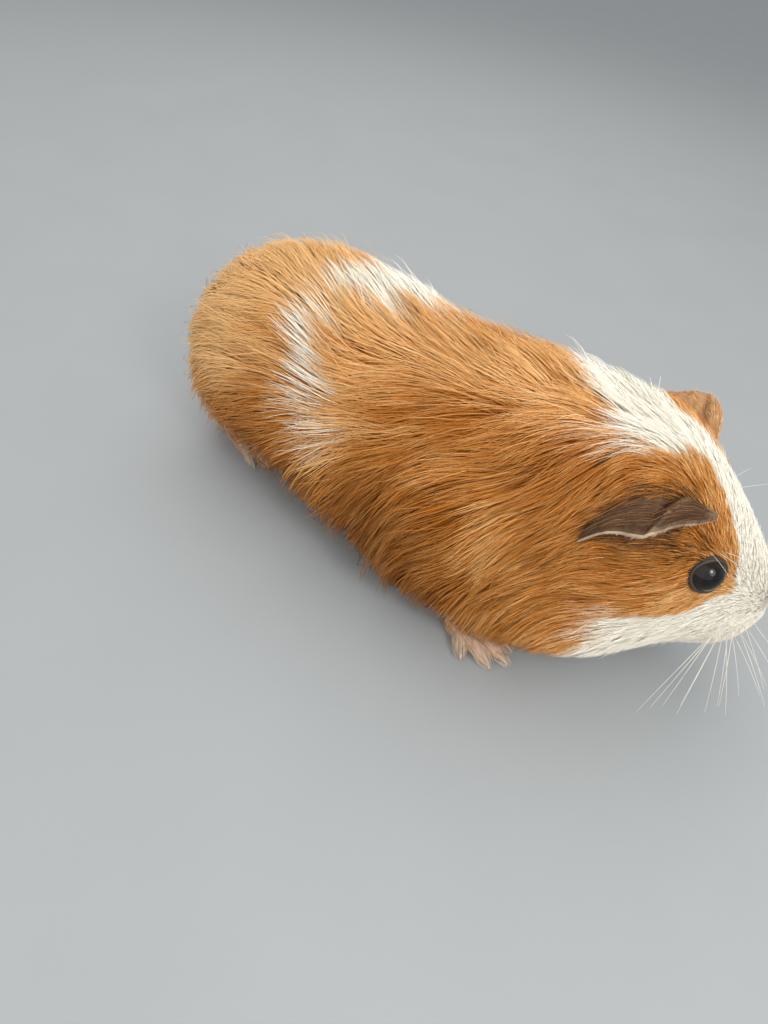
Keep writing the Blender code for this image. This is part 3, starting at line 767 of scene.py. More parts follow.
def ear_sheet(side, row, out):
    """Middle sheet of an ear: row runs from the rear (0) to the front (7), out from base
    (0) to rim (1).

    A point lies straight between the base's and the rim's curves. Half a sine across
    bows it up; behind the crease it is sunk, ahead of it raised, both dying away with
    the distance, and fine sines make ridges. Then the ear is turned about its hinge.
    """
    rows = np.array(EAR_ROWS[side])
    edge = through_rows(np.vstack([2 * rows[0] - rows[1], rows, 2 * rows[-1] - rows[-2]]), row)
    sheet = edge[..., :3] * (1 - out[..., None]) + edge[..., 3:] * out[..., None]
    behind = crease_row(out) - row
    hollow = ramp(behind, -0.05, 0.16) * np.exp(-np.maximum(behind, 0) / 1.5)
    lobe = ramp(-behind, -0.12, 0.3) * np.exp(-np.maximum(-behind, 0) / 1.2)
    bow = np.sin(math.pi * np.clip(out, 0, 1))
    ridges = 0.16 * np.sin(row * 9.0) * bow * (behind > 0)
    sheet[..., 2] += EAR_ARCH * bow - 2.3 * hollow * bow ** 0.7 + 0.7 * lobe + ridges
    angle = math.radians(EAR_RAISED[side])
    away = sheet - EAR_HINGE
    turned = away.copy()
    turned[..., 1] = away[..., 1] * math.cos(angle) + away[..., 2] * math.sin(angle)
    turned[..., 2] = away[..., 2] * math.cos(angle) - away[..., 1] * math.sin(angle)
    sheet = EAR_HINGE + turned
    return across_the_head(sheet) if side == "left" else sheet


def ear_frame(side, row, out):
    """Point on an ear's sheet, upward direction, and directions to the rear and outward."""
    point = ear_sheet(side, row, out)
    to_rear = unit(ear_sheet(side, row - 0.02, out) - ear_sheet(side, row + 0.02, out))
    outward = unit(ear_sheet(side, row, out + 0.01) - ear_sheet(side, row, out - 0.01))
    upward = unit(np.cross(outward, to_rear)) * SIDES[side]
    return point, upward, to_rear, outward


def ear(side):
    """Shell of an ear: its sheet with a thickness that thins to the rim, rooted in the head."""
    row, out = np.meshgrid(np.linspace(0, 7, 90), np.linspace(-0.22, 1.0, 26), indexing="ij")
    sheet, upward, _, _ = ear_frame(side, row, out)
    half = (EAR_THICK / 2 * (1 - 0.5 * ramp(out, 0.3, 1.0)))[..., None]
    rings = np.concatenate([sheet + upward * half, (sheet - upward * half)[:, ::-1]], axis=1)
    stuffs = (EAR_HOLLOW, EAR_LOBE, EAR_RIM) if side == "right" else (EAR_BACK, EAR_BACK, EAR_RIM)
    petal = loft("ear_" + side, rings, stuffs[0], thin=True)
    petal.data.materials.append(stuffs[1])
    petal.data.materials.append(stuffs[2])
    there = np.concatenate([out, out[:, ::-1]], axis=1)
    there = (there + np.roll(there, -1, axis=1))[:-1] / 2
    ahead = ((row[:-1] + row[1:]) / 2)[:, :1] > crease_row(there)
    kind = np.where(there > RIM_FROM, 2, np.where(ahead, 1, 0)).ravel()
    kinds = np.zeros(len(petal.data.polygons), np.int32)
    kinds[:len(kind)] = kind
    petal.data.polygons.foreach_set("material_index", kinds)
    return petal

# ---------------------------------------------------------------- legs and feet

LEFT_AHEAD = {"fore": 9.0, "hind": 12.0}     # the left feet stand ahead of the right
SHIN = {"fore": ((27.4, -24.5, 26.0), (34.4, -33.5, 6.5), 6.0, 4.5),
        "hind": ((-70.6, -18.0, 28.0), (-81.6, -15.6, 7.0), 9.0, 4.7)}
SOLE = {"fore": ((29.4, -32.6, 2.4, 4.6), (32.4, -32.8, 4.2, 7.0), (36.4, -33.0, 4.9, 6.8),
                 (40.0, -33.6, 4.8, 5.6), (42.2, -33.9, 3.2, 3.6)),
        "hind": ((-90.1, -14.0, 2.4, 5.0), (-87.1, -14.5, 4.1, 7.4), (-81.6, -15.5, 4.8, 8.2),
                 (-75.1, -16.9, 5.0, 6.6), (-70.1, -18.2, 5.8, 5.6), (-66.1, -19.2, 5.2, 4.4))}
# Toes: root x, y, then tip x, y, and radius.
TOES = {"fore": ((34.4, -35.2, 38.8, -40.6, 2.0), (39.4, -36.4, 46.2, -38.6, 2.3),
                 (40.4, -33.2, 49.0, -34.2, 2.3), (39.9, -30.2, 47.6, -29.6, 2.1)),
        "hind": ((-69.6, -21.6, -63.6, -24.8, 2.1), (-68.1, -19.6, -60.2, -22.0, 2.3),
                 (-68.6, -16.4, -59.8, -16.9, 2.1))}
CLAW = {"fore": (3.9, 1.0), "hind": (4.9, 1.1)}      # length and radius at the root
SOLE_INSIDE = 0.97                                   # share of its solid that the skin fills


def placed(points, end, side):
    """Points of a right limb put on the wanted side."""
    out = np.array(points, float)
    if side == "left":
        out[..., 1] *= -1
        out[..., 0] += LEFT_AHEAD[end]
    return out


def toe_path(end, side, toe, fractions):
    """Points along a toe: straight from root to tip, arched at its knuckle by half a sine."""
    root = placed((toe[0], toe[1], toe[4] + 0.9), end, side)
    tip = placed((toe[2], toe[3], toe[4] - 0.30), end, side)
    s = np.asarray(fractions)[:, None]
    path = root * (1 - s) + tip * s
    path[:, 2] += 0.55 * np.sin(math.pi * np.clip(s[:, 0], 0, 1)) ** 1.5
    return path


def shin_line(end, side):
    """Middle line of a shin from body to ankle, and its radius."""
    top, ankle, thick, thin = SHIN[end]
    return placed(np.linspace(top, ankle, 6), end, side), np.linspace(thick, thin, 6)


def sole_line(end, side):
    """Middle line of a sole, its half width and half height: a bar sunk a little in the floor."""
    x, y, wide, height = np.array(SOLE[end]).T
    buried = np.minimum(0.30 * height, 2.0)
    middle = placed(np.stack([x, y, (height - buried) / 2], axis=1), end, side)
    return middle, wide, (height + buried) / 2


def limb(end, side):
    """Shin, flat soled foot and toes as round bars; toes swell at joint and pad."""
    shells = [bar("shin", *shin_line(end, side), FOOT)]
    middle, wide, high = sole_line(end, side)
    radii = np.stack([wide, high], axis=1) * SOLE_INSIDE
    shells.append(bar("sole", middle, radii, FOOT, turns=32, floor=0.0))
    s = np.linspace(0, 1, 9)
    swell = 0.90 + 0.10 * np.cos((s - 0.45) * 2 * math.pi) - 0.30 * ramp(s, 0.75, 1.0)
    for toe in TOES[end]:
        path = toe_path(end, side, toe, s)
        shells.append(bar("toe", path, toe[4] * swell, FOOT, turns=16, floor=0.28))
    return shells


def claw(end, side, number, toe):
    """Claw: a cone flattened from the sides, carried on a curve that bends to the floor."""
    length, radius = CLAW[end]
    way = toe_path(end, side, toe, (0.85, 1.0))
    tip, ahead = way[1], unit((way[1] - way[0]) * (1, 1, 0))
    s = np.linspace(0, 1, 12)
    path = tip + ahead * ((s * length) - 0.9)[:, None]
    curve = 0.30 * np.sin(s * math.pi * 0.8) - (tip[2] + 0.05) * s**1.8
    path[:, 2] = np.maximum(tip[2] + 0.35 + curve, 0.32)
    taper = np.maximum(radius * (1 - s**1.5) ** 0.75, 0.07)
    radii = np.stack([taper * 0.78, taper], axis=1)
    piece = bar(f"horn_{end}_{side}_{number}", path, radii, HORN, turns=14, floor=0.06)
    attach(piece, "root")
    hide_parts(f"claw_{end}_{side}_{number}")


# ---------------------------------------------------------------- skin

SKIN_ROUND = 216                    # points round one ring of the skin
# Rings of the skin, closer together on the face: from station, to station, number.
SKIN_RINGS = ((0.05, 1.0, 26), (1.0, 2.0, 18), (2.0, 3.6, 44), (3.6, 5.0, 18), (5.0, 11.95, 64))
NOSE_TIP = STATIONS[0, [0, 7, 2]]
HEADING = math.radians(STATIONS[0, 8])
FORWARD = np.array([math.cos(HEADING), math.sin(HEADING), 0.0])
LEFTWARD = np.array([-FORWARD[1], FORWARD[0], 0.0])
# Lines of the face as from_nose reads them; nostril, lip and whisker pad are the left side's.
NOSTRIL = ((0.9, 1.9, -0.2), (1.1, 3.0, 1.1), (1.7, 3.9, 1.5))
CLEFT = ((0.2, 0.0, -1.0), (0.4, 0.0, -4.0), (1.6, 0.0, -8.0))
LIP = ((1.6, 0.0, -8.0), (3.4, 2.4, -10.5), (8.0, 4.6, -13.2), (13.5, 6.6, -14.2))
WHISKER_PAD = ((4.5, 6.0, -4.0), (5.5, 7.5, -6.0))
NOSE_PAD = ((0.6, -1.2, 0.4), (0.6, 1.2, 0.4))


def from_nose(told, sign=1):
    """Points told from the nose tip: how far back, to the left (1) or right (-1), and up."""
    back, side, up = np.array(told, float).T[..., None]
    return NOSE_TIP - FORWARD * back + LEFTWARD * (sign * side) + UP * up


def face_line(told, sign=1):
    """Points along a line on the face: the told places joined straight, then laid on its form."""
    told = from_nose(told, sign)
    return body_point(*body_place(along_line(told, np.linspace(0, 1, 4 * len(told) - 3))))


def groove(points, path, width):
    """Depth share of a groove: one on the path, falling off like a bell beside it."""
    best = np.full(points.shape[:-1], 1e9)
    for a, b in zip(path[:-1], path[1:]):
        t = np.clip(((points - a) @ (b - a)) / ((b - a) @ (b - a)), 0, 1)
        best = np.minimum(best, np.linalg.norm(points - a - t[..., None] * (b - a), axis=-1))
    return np.exp(-(best / width) ** 2)


def face_grooves(points, nostril, lip, cleft):
    """Depth shares of both nostrils, both lips and the cleft of the nose, by their widths."""
    nostrils = [groove(points, from_nose(NOSTRIL, sign), nostril) for sign in SIDES.values()]
    lips = [groove(points, face_line(LIP, sign), lip) for sign in SIDES.values()]
    return nostrils, lips, groove(points, face_line(CLEFT), cleft)


def face_relief(points):
    """Rise and fall of the face against the plain form, in millimetres: nostrils, lips and
    cleft are bell-shaped grooves, the whisker pads low bells."""
    nostrils, lips, cleft = face_grooves(points, 0.75, 0.8, 0.7)
    pads = sum(groove(points, from_nose(WHISKER_PAD, sign), 3.2) for sign in SIDES.values())
    return 0.2 * pads - 2.0 * sum(nostrils) - 1.6 * sum(lips) - cleft


def bare_share(points):
    """How bare of hair the nose is: in the nostrils, the cleft under them and the lips."""
    nostrils, lips, cleft = face_grooves(points, 1.0, 0.65, 0.6)
    pad = groove(points, from_nose(NOSE_PAD), 1.0)
    return np.clip(1.5 * np.maximum.reduce([*nostrils, *lips, cleft, pad]), 0, 1)


def body_skin():
    """The body's form again, finer, moved in by the coat's depth, with the face's relief."""
    along = np.unique(np.concatenate([np.linspace(*part) for part in SKIN_RINGS]))
    turn = np.linspace(-math.pi, math.pi, SKIN_ROUND, endpoint=False)
    along, turn = np.meshgrid(along, turn, indexing="ij")
    point, outward, _, _, _ = body_frame(along, turn)
    inside = point - outward * field(DEPTH, DEPTH_ANGLES, along, turn)[..., None]
    return loft("skin", inside + outward * face_relief(inside)[..., None], SKIN)


def paint_skin(skin):
    """Each point's markings: how white, how bare and pink, and how dark in nostrils and lips, the dark
    being painted shade inside these grooves.
    """
    points = points_of(skin)
    values = np.zeros((len(points), 4), np.float32)
    values[:, 0] = white_share(points)
    nose = from_nose((0.4, 0.0, 1.0))
    values[:, 1] = 0.75 * np.exp(-(np.linalg.norm(points - nose, axis=1) / 3.4) ** 2)
    nostrils, lips, _ = face_grooves(points, 0.62, 0.8, 1.0)
    # Painted shade: nostrils and lip grooves darkened as the shade inside them.
    values[:, 3] = np.clip(0.9 * sum(nostrils) + 0.7 * sum(lips), 0, 0.85)
    marked(skin.data, values)


def make_skin():
    """One skin for all the flesh: body, ears, lids and limbs joined without a seam."""
    skin = body_skin()
    shells = [shell for end in ENDS for side in SIDES for shell in limb(end, side)]
    merged(skin, melted(joined("limbs", shells), 0.58, 2))
    skin = joined("skin", [skin] + [make(side) for side in SIDES for make in (ear, lids)])
    paint_skin(skin)
    skin.data.shade_smooth()
    flesh = ["nose", "head", "neck", "trunk", "rump"]
    flesh += [f"{part}_{side}" for part in ("ear", "foreleg", "hindleg", "forefoot", "hindfoot")
              for side in SIDES]
    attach(skin, "root")
    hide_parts(*flesh)

# ---------------------------------------------------------------- hair

FREE_FROM, FREE_TO = math.radians(96), math.radians(118)    # turns where hair lets go and hangs
BELLY_FROM, BELLY_TO = math.radians(122), math.radians(140)    # turns where the coat thins
HAIR_FLAT = 0.6                      # thickness of a hair through the coat against across it
PATCH = 0.0015                       # reach of one hair's patch on the flattened skin
SEEN_AT = 0.65                       # share of the way up a hair where its colour is read
FLYING = 0.02                        # share of the hairs that leave their lock
NOSE_BARE_TO = 2.0                   # station up to which a coat has to leave the nose bare
EYE_CLEAR = math.radians(6)          # hair stays away from the lids by this angle,
EYE_NEAR = 6.0                       # when it is less than this over the eyeball
SHORTEST = 0.28                      # a hair cut shorter than this share by the eye is left out


def comb(along, turn, length, steps, height, stray, loose, wave, phase):
    """Paths of hairs combed along the lie of the coat, as steps + 1 points each.

    A hair starts on the skin and goes in equal steps, each in the direction of the
    lie there plus its own stray angle and wave. It rises quickly from the skin and
    then keeps at its own height, a share of the coat's depth under the surface. Past
    the widest line of the flank, or the rump, it lets go as far as it is loose.
    """
    sign = np.where(turn < 0, -1.0, 1.0)
    point, outward, _, _, _ = body_frame(along, turn)
    here = point - outward * field(DEPTH, DEPTH_ANGLES, along, turn)[..., None]
    path, normals = [here], [outward]
    bend = np.radians(stray) + np.radians(14) * ripple(point, 34.0, 5) * ramp(along, 3.6, 5.5)
    for step in range(1, steps + 1):
        s = step / steps
        _, outward, back, _, _ = body_frame(along, turn)
        down = np.cross(outward, back) * (-sign)[..., None]
        swept = np.interp(along, LIE_ALONG, LIE_SWEPT) * np.cos(turn) ** 2 * (np.cos(turn) > 0)
        lean = np.radians(field(LIE, LIE_ANGLES, along, turn, LIE_ALONG) + sign * swept) + bend
        lean = lean + wave * np.sin(phase + 5.0 * s)
        way = back * np.cos(lean)[..., None] + down * np.sin(lean)[..., None]
        reach = here + way * (length / steps)[..., None]
        along, turn = body_place(reach)
        point, normal, _, _, _ = body_frame(along, turn)
        depth = field(DEPTH, DEPTH_ANGLES, along, turn)
        under = height + (1 - height) * (1 - s) ** 2.3
        laid = point - normal * (depth * under)[..., None]
        free = ramp(np.abs(turn), FREE_FROM, FREE_TO) * ramp(along, 4.3, 5.4)
        free = np.maximum(free, ramp(along, 11.3, 11.9)) * loose
        hung = unit(here - path[-2] if step > 1 else way) * 0.75 - 0.35 * UP
        hung = here + unit(hung) * (length / steps)[..., None]
        here = laid * (1 - free[..., None]) + hung * free[..., None]
        here[..., 2] = np.maximum(here[..., 2], 0.5 + 1.2 * np.abs(height) + 0.3 * s)
        along, turn = body_place(here)
        path.append(here)
        normals.append(normal)
    return np.stack(path, axis=1), np.stack(normals, axis=1)


def gathered(paths, guides, owner, pull):
    """Hairs drawn towards their lock's own middle hair, more so towards the tips."""
    s = np.linspace(0, 1, paths.shape[1]) ** 1.3
    share = (pull[:, None] * s)[..., None]
    return paths * (1 - share) + guides[owner] * share


def hair_mesh(name, paths, normals, width, tuft, place):
    """One mesh of many hairs: three-sided tapering bars, closed at the root and pointed.

    Each ring has its points at thirds of a turn, wide across the coat and flatter
    through it, and shrinks with the root of what is left of the hair. It is shaded half
    as a bar and half as the coat's surface, as fur is that light goes into. tuft gives four
    numbers for each hair, of which the third is replaced by the share of the way up.
    place is the hair's own spot on the flattened skin, and its patch is spread from it.
    """
    count, rings = paths.shape[0], paths.shape[1] - 1
    s = np.linspace(0, 1, rings + 1)
    ahead = unit(np.gradient(paths, axis=1))
    across = unit(np.cross(normals, ahead))
    upward = np.cross(ahead, across)
    taper = (1 - s[:-1] ** 2.2) ** 0.6 * (0.78 + 0.22 * np.sin(math.pi * np.minimum(s[:-1] * 1.6, 1)))
    radius = (width[:, None] / 2 * taper)[..., None, None]
    third = np.array([math.pi / 2, math.pi * 7 / 6, math.pi * 11 / 6])
    ring = np.cos(third)[:, None] * across[:, :-1, None]
    ring = ring + HAIR_FLAT * np.sin(third)[:, None] * upward[:, :-1, None]
    body = paths[:, :-1, None] + ring * radius
    points = np.concatenate([body.reshape(count, -1, 3), paths[:, -1:]], axis=1)
    facing = unit(unit(ring) * 0.45 + normals[:, :-1, None] * 0.55)
    facing = np.concatenate([facing.reshape(count, -1, 3), normals[:, -1:]], axis=1)
    per = rings * 3 + 1
    first = (np.arange(count) * per)[:, None]
    j = np.arange(3)
    k = (j + 1) % 3
    level = (np.arange(rings - 1) * 3)[:, None]
    quads = np.stack([level + j, level + k, level + 3 + k, level + 3 + j], axis=-1).reshape(-1)
    last = (rings - 1) * 3
    tips = np.stack([last + j, last + k, np.full(3, per - 1)], axis=-1).reshape(-1)
    corners = np.concatenate([quads, tips, (0, 2, 1)])
    sizes = np.array([4] * (3 * (rings - 1)) + [3] * 4)
    mesh = bpy.data.meshes.new(name)
    mesh.vertices.add(count * per)
    mesh.vertices.foreach_set("co", (points * MM).astype(np.float32).ravel())
    mesh.loops.add(count * len(corners))
    mesh.loops.foreach_set("vertex_index", (first + corners).astype(np.int32).ravel())
    starts = np.arange(count)[:, None] * len(corners) + np.concatenate([[0], np.cumsum(sizes)[:-1]])
    mesh.polygons.add(count * len(sizes))
    mesh.polygons.foreach_set("loop_start", starts.astype(np.int32).ravel())
    mesh.update(calc_edges=True)
    mesh.shade_smooth()
    mesh.normals_split_custom_set_from_vertices(facing.reshape(-1, 3).tolist())
    up_it = np.concatenate([np.repeat(s[:-1], 3), [1.0]])
    values = np.repeat(tuft[:, None], per, axis=1)
    values[..., 2] = up_it
    marked(mesh, values)
    aside = np.concatenate([np.tile(j - 1.0, rings), [0.0]])
    spots = (place[:, None] + np.stack([aside, up_it * 2 - 1], axis=-1) * PATCH)[:, corners]
    mesh.uv_layers.new(name="OFBake").data.foreach_set("uv", spots.astype(np.float32).ravel())
    mesh.materials.append(COAT)
    made = shown(name, mesh)
    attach(made, "root")


def skin_map(along, turn):
    """A root's place on the skin laid flat: round the body across, nose to rump upwards."""
    return np.stack([0.02 + 0.96 * (turn / (2 * math.pi) + 0.5), 0.02 + 0.96 * along / LAST], axis=-1)


def width_of_hair(along):
    """Width of one tuft by station, in millimetres."""
    return np.interp(along, (0, 2, 3.3, 4.2, 5.2, 7, 12), (0.15, 0.20, 0.22, 0.24, 0.27, 0.30, 0.31))


def scatter(start, stop, cover, tuft_size):
    """Roots of locks between two stations, so dense that the coat covers itself evenly.

    The number in a small patch is its area, times how many layers of hair are wanted,
    over what one hair covers. The belly gets a third as many.
    """
    a = np.linspace(start, stop, 121)
    t = np.linspace(-math.pi, math.pi, 181)
    along, turn = np.meshgrid((a[:-1] + a[1:]) / 2, (t[:-1] + t[1:]) / 2, indexing="ij")
    _, _, _, per_along, per_turn = body_frame(along, turn)
    area = per_along * per_turn * (a[1] - a[0]) * (t[1] - t[0])
    hair = field(LENGTH, LENGTH_ANGLES, along, turn) * width_of_hair(along) * 0.75
    fewer = 1 - 0.68 * ramp(np.abs(turn), BELLY_FROM, BELLY_TO)
    wanted = np.cumsum((area * cover * fewer / hair / tuft_size).ravel())
    count = int(wanted[-1])
    pick = (np.arange(count) + RNG.random(count)) / count * wanted[-1]
    cell = np.minimum(np.searchsorted(wanted, pick), len(wanted) - 1)
    along = along.ravel()[cell] + (RNG.random(count) - 0.5) * (a[1] - a[0])
    turn = turn.ravel()[cell] + (RNG.random(count) - 0.5) * (t[1] - t[0])
    return along, turn


def blocked(paths):
    """Share of each hair's length that stays clear of the eyes, by its first point inside."""
    reach = np.ones(len(paths))
    steps = paths.shape[1]
    for middle, radius, gaze, long_way, short_way in EYES.values():
        away = paths - middle
        distance = np.linalg.norm(away, axis=-1)
        way = away / distance[..., None]
        theta = np.arctan2(way @ short_way, way @ long_way)
        angle = np.arccos(np.clip(way @ gaze, -1, 1))
        inside = (angle < lid_opening(theta) + EYE_CLEAR) & (distance < radius + EYE_NEAR)
        first = np.where(inside.any(axis=1), inside.argmax(axis=1), steps)
        reach = np.minimum(reach, np.clip((first - 0.6) / (steps - 1), 0, 1))
    return reach


def tuft_values(seen, along, lock_shade):
    """Four numbers for each hair from the point where it is seen most: white, shade with painted light and
    shade in it, none yet, soot with painted shade over the ear's base. At an edge of the markings a hair
    is nearly all one colour, by chance."""
    count = len(seen)
    chance = RNG.normal(0, 1, count)
    white = white_share(seen)
    unsure = 0.12 + 4 * white * (1 - white)
    white = ramp(white + (0.14 * chance + 1.4 * lock_shade) * unsure, 0.22, 0.78)
    dark = (RNG.random(count) < dark_share(seen) * 0.75) * RNG.uniform(0.5, 1.0, count)
    place, around = body_place(seen)
    # Painted light and shade: the tone table lightens the back and darkens the lower flank, along with the
    # coat's own tone.
    shade = 0.5 + field(TONE_AND_PAINTED_LIGHT, TONE_ANGLES, place, around, TONE_ALONG) + lock_shade
    uneven = np.interp(along, (6, 9), (0.16, 0.10))
    shade = shade + 0.05 * ripple(seen, 13.0, 8) + uneven * RNG.normal(0, 1, count)
    return np.stack([white, np.clip(shade, -0.1, 1.15), 0 * white, dark], axis=1)


def coat(name, start, stop, steps, cover, tuft_size, spread, stray, pull, wave, free):
    """Coat between two stations: locks of several hairs, each lock round its middle hair.

    free is the share of the locks, about, that hang down at the lower edge. The hairs
    are combed once to find which meet an eye or the bare nose, and again at the length
    that is left.
    """
    lock_along, lock_turn = scatter(start, stop, cover, tuft_size)
    locks = len(lock_along)
    lock_stray = RNG.normal(0, stray, locks)
    lock_phase = RNG.uniform(0, 2 * math.pi, locks)
    lock_shade = RNG.normal(0, 0.08, locks)
    lock_height = RNG.uniform(-0.02, 0.40, locks)
    lock_loose = RNG.random(locks) ** (1 / free - 1)
    lock_length = field(LENGTH, LENGTH_ANGLES, lock_along, lock_turn) * RNG.uniform(0.8, 1.15, locks)
    guides, _ = comb(lock_along, lock_turn, lock_length, steps, lock_height, lock_stray, lock_loose,
                     wave, lock_phase)

    # The hairs of each lock stand round its middle, evenly over a disc.
    owner = np.repeat(np.arange(locks), tuft_size)
    count = len(owner)
    _, _, _, per_along, per_turn = body_frame(lock_along, lock_turn)
    size = spread * np.sqrt(RNG.random(count))
    angle = RNG.uniform(0, 2 * math.pi, count)
    along = np.clip(lock_along[owner] + size * np.cos(angle) / per_along[owner], 0.04, LAST - 0.04)
    turn = lock_turn[owner] + size * np.sin(angle) / np.maximum(per_turn[owner], 2.0)
    turn = (turn + math.pi) % (2 * math.pi) - math.pi
    length = field(LENGTH, LENGTH_ANGLES, along, turn) * RNG.uniform(0.72, 1.12, count)
    height = np.clip(lock_height[owner] + RNG.normal(0, 0.12, count), -0.10, 0.8)
    flying = RNG.random(count) < FLYING
    height -= flying * RNG.uniform(0.15, 0.5, count)
    bend = lock_stray[owner] + RNG.normal(0, stray * 0.35, count) + flying * RNG.normal(0, 9, count)
    paths, _ = comb(along, turn, length, steps, height, bend, lock_loose[owner], wave, lock_phase[owner])
    reach = blocked(gathered(paths, guides, owner, pull * np.ones(count)))
    keep = reach > SHORTEST
    if start < NOSE_BARE_TO:
        keep &= bare_share(paths).max(axis=1) < RNG.uniform(0.55, 1.0, count)

    owner, along, turn, height, bend, length, reach, flying = (
        v[keep] for v in (owner, along, turn, height, bend, length, reach, flying))
    count = len(owner)
    paths, normals = comb(along, turn, length * reach, steps, height, bend, lock_loose[owner], wave,
                          lock_phase[owner])
    held = pull * RNG.uniform(0.5, 1.2, count) * (reach > 0.99) * (1 - flying)
    held *= 1 - 0.7 * ramp(np.degrees(np.abs(turn)), 78, 95)
    paths = gathered(paths, guides, owner, held)
    tuft = tuft_values(paths[:, int(round(steps * SEEN_AT))], along, lock_shade[owner])
    width = width_of_hair(along) * RNG.uniform(0.75, 1.25, count)
    hair_mesh(name, paths, normals, width, tuft, skin_map(along, turn))


# The coat in lengths from nose to rump; hair grows longer and locks larger rearward.
COAT_LENGTHS = (
    #  name, from, to, steps, layers, hairs in a lock, its radius, stray, pull, wave, free
    ("coat_muzzle", 0.10, 2.2, 2, 4.6, 4, 0.7, 4.0, 0.15, 0.0, 0.3),
    ("coat_face", 2.2, 3.35, 2, 4.7, 5, 1.0, 4.0, 0.20, 0.0, 0.3),
    ("coat_cheeks", 3.35, 4.1, 3, 5.0, 7, 1.5, 4.0, 0.3, 0.05, 0.3),
    ("coat_head", 4.1, 4.75, 4, 5.3, 8, 1.9, 4.0, 0.35, 0.06, 0.35),
    ("coat_nape", 4.75, 5.5, 4, 5.5, 10, 2.4, 4.2, 0.35, 0.08, 0.3),
    ("coat_shoulders", 5.5, 6.4, 4, 5.8, 11, 2.8, 4.2, 0.35, 0.09, 0.25),
    ("coat_barrel", 6.4, 7.4, 4, 5.8, 11, 2.8, 3.8, 0.35, 0.08, 0.2),
    ("coat_loin", 7.4, 8.5, 4, 5.8, 11, 2.8, 3.8, 0.35, 0.07, 0.3),
    ("coat_haunches", 8.5, 9.8, 4, 5.7, 11, 2.6, 3.8, 0.3, 0.06, 0.45),
    ("coat_rump", 9.8, 11.93, 4, 5.9, 11, 2.4, 4.4, 0.3, 0.06, 0.6))


def short_coat(name, batches):
    """One piece of several batches of short hair: paths, normals, tufts and widths of each."""
    paths, normals, tufts, widths = (np.concatenate(part) for part in zip(*batches))
    hair_mesh(name, paths, normals, widths, tufts, skin_map(*body_place(paths[:, 0])))


# Orange hair from the head sweeps over the right ear's base, darkened towards brown there as painted
# shade, longer brown and pale ones run along the hollow to its rear tip, short ones cover the front lobe,
# and a fine pale fringe stands along the rim. The left ear is downy and orange-brown all over.
EAR_HAIR = {
    #  number, rows, out, run in rows, run outward, height, white, shade, soot and painted shade, width
    "right": ((560, (0.6, 6.9), (-0.24, -0.04), -1.5, 0.22, 0.9, 0.0, 0.35, 0.50, 0.24),
              (740, (1.0, 6.6), (-0.05, 0.86), -2.2, 0.05, 0.55, 0.03, 0.4, 1.05, 0.17),
              (240, (1.4, 6.2), (-0.05, 0.75), -2.4, 0.08, 0.8, 0.12, 0.5, 0.85, 0.14),
              (340, (4.3, 6.9), (-0.05, 0.85), -0.1, 0.28, 0.35, 0.16, 0.4, 0.72, 0.14),
              (240, (0.2, 6.8), (0.90, 0.98), -0.15, 0.10, 0.10, 0.60, 0.6, 0.40, 0.10)),
    "left": ((560, (0.6, 6.9), (-0.24, -0.02), -1.2, 0.30, 0.9, 0.2, 0.7, 0.0, 0.24),
             (1200, (0.3, 6.8), (-0.10, 0.92), -0.5, 0.22, 0.40, 0.12, 0.66, 0.08, 0.17),
             (240, (0.2, 6.8), (0.90, 0.98), -0.15, 0.10, 0.10, 0.75, 0.8, 0.12, 0.10))}


def ear_hair(side):
    """Short hair on an ear: each hair runs over the ear's own rows and its way out from base
    to rim, and stands off the sheet along a bow."""
    t = np.linspace(0, 1, 5)
    batches = []
    for number, rows, outs, run, outward, height, white, shade, soot_and_shade, width in EAR_HAIR[side]:
        row = RNG.uniform(*rows, number)[:, None]
        out = RNG.uniform(*outs, number)[:, None]
        run = (run * RNG.uniform(0.6, 1.2, number))[:, None]
        outward = (outward * RNG.uniform(0.5, 1.2, number))[:, None]
        lift = (height * RNG.uniform(0.6, 1.3, number))[:, None]
        there, up, _, _ = ear_frame(side, np.clip(row + run * t, 0.02, 6.98), out + outward * t**1.4)
        rise = lift * (0.35 + 0.65 * np.sin(math.pi * np.clip(0.1 + 0.8 * t, 0, 1)))
        grey = np.clip(soot_and_shade * RNG.uniform(0.7, 1.3, number), 0, 1)
        tone = np.clip(shade + RNG.normal(0, 0.14, number), 0, 1)
        pale = np.clip(white + RNG.normal(0, 0.08, number), 0, 1)
        batches.append((there + up * rise[..., None], up,
                        np.stack([pale, tone, 0 * tone, grey], axis=1),
                        width * RNG.uniform(0.8, 1.2, number)))
    short_coat("coat_ear_" + side, batches)


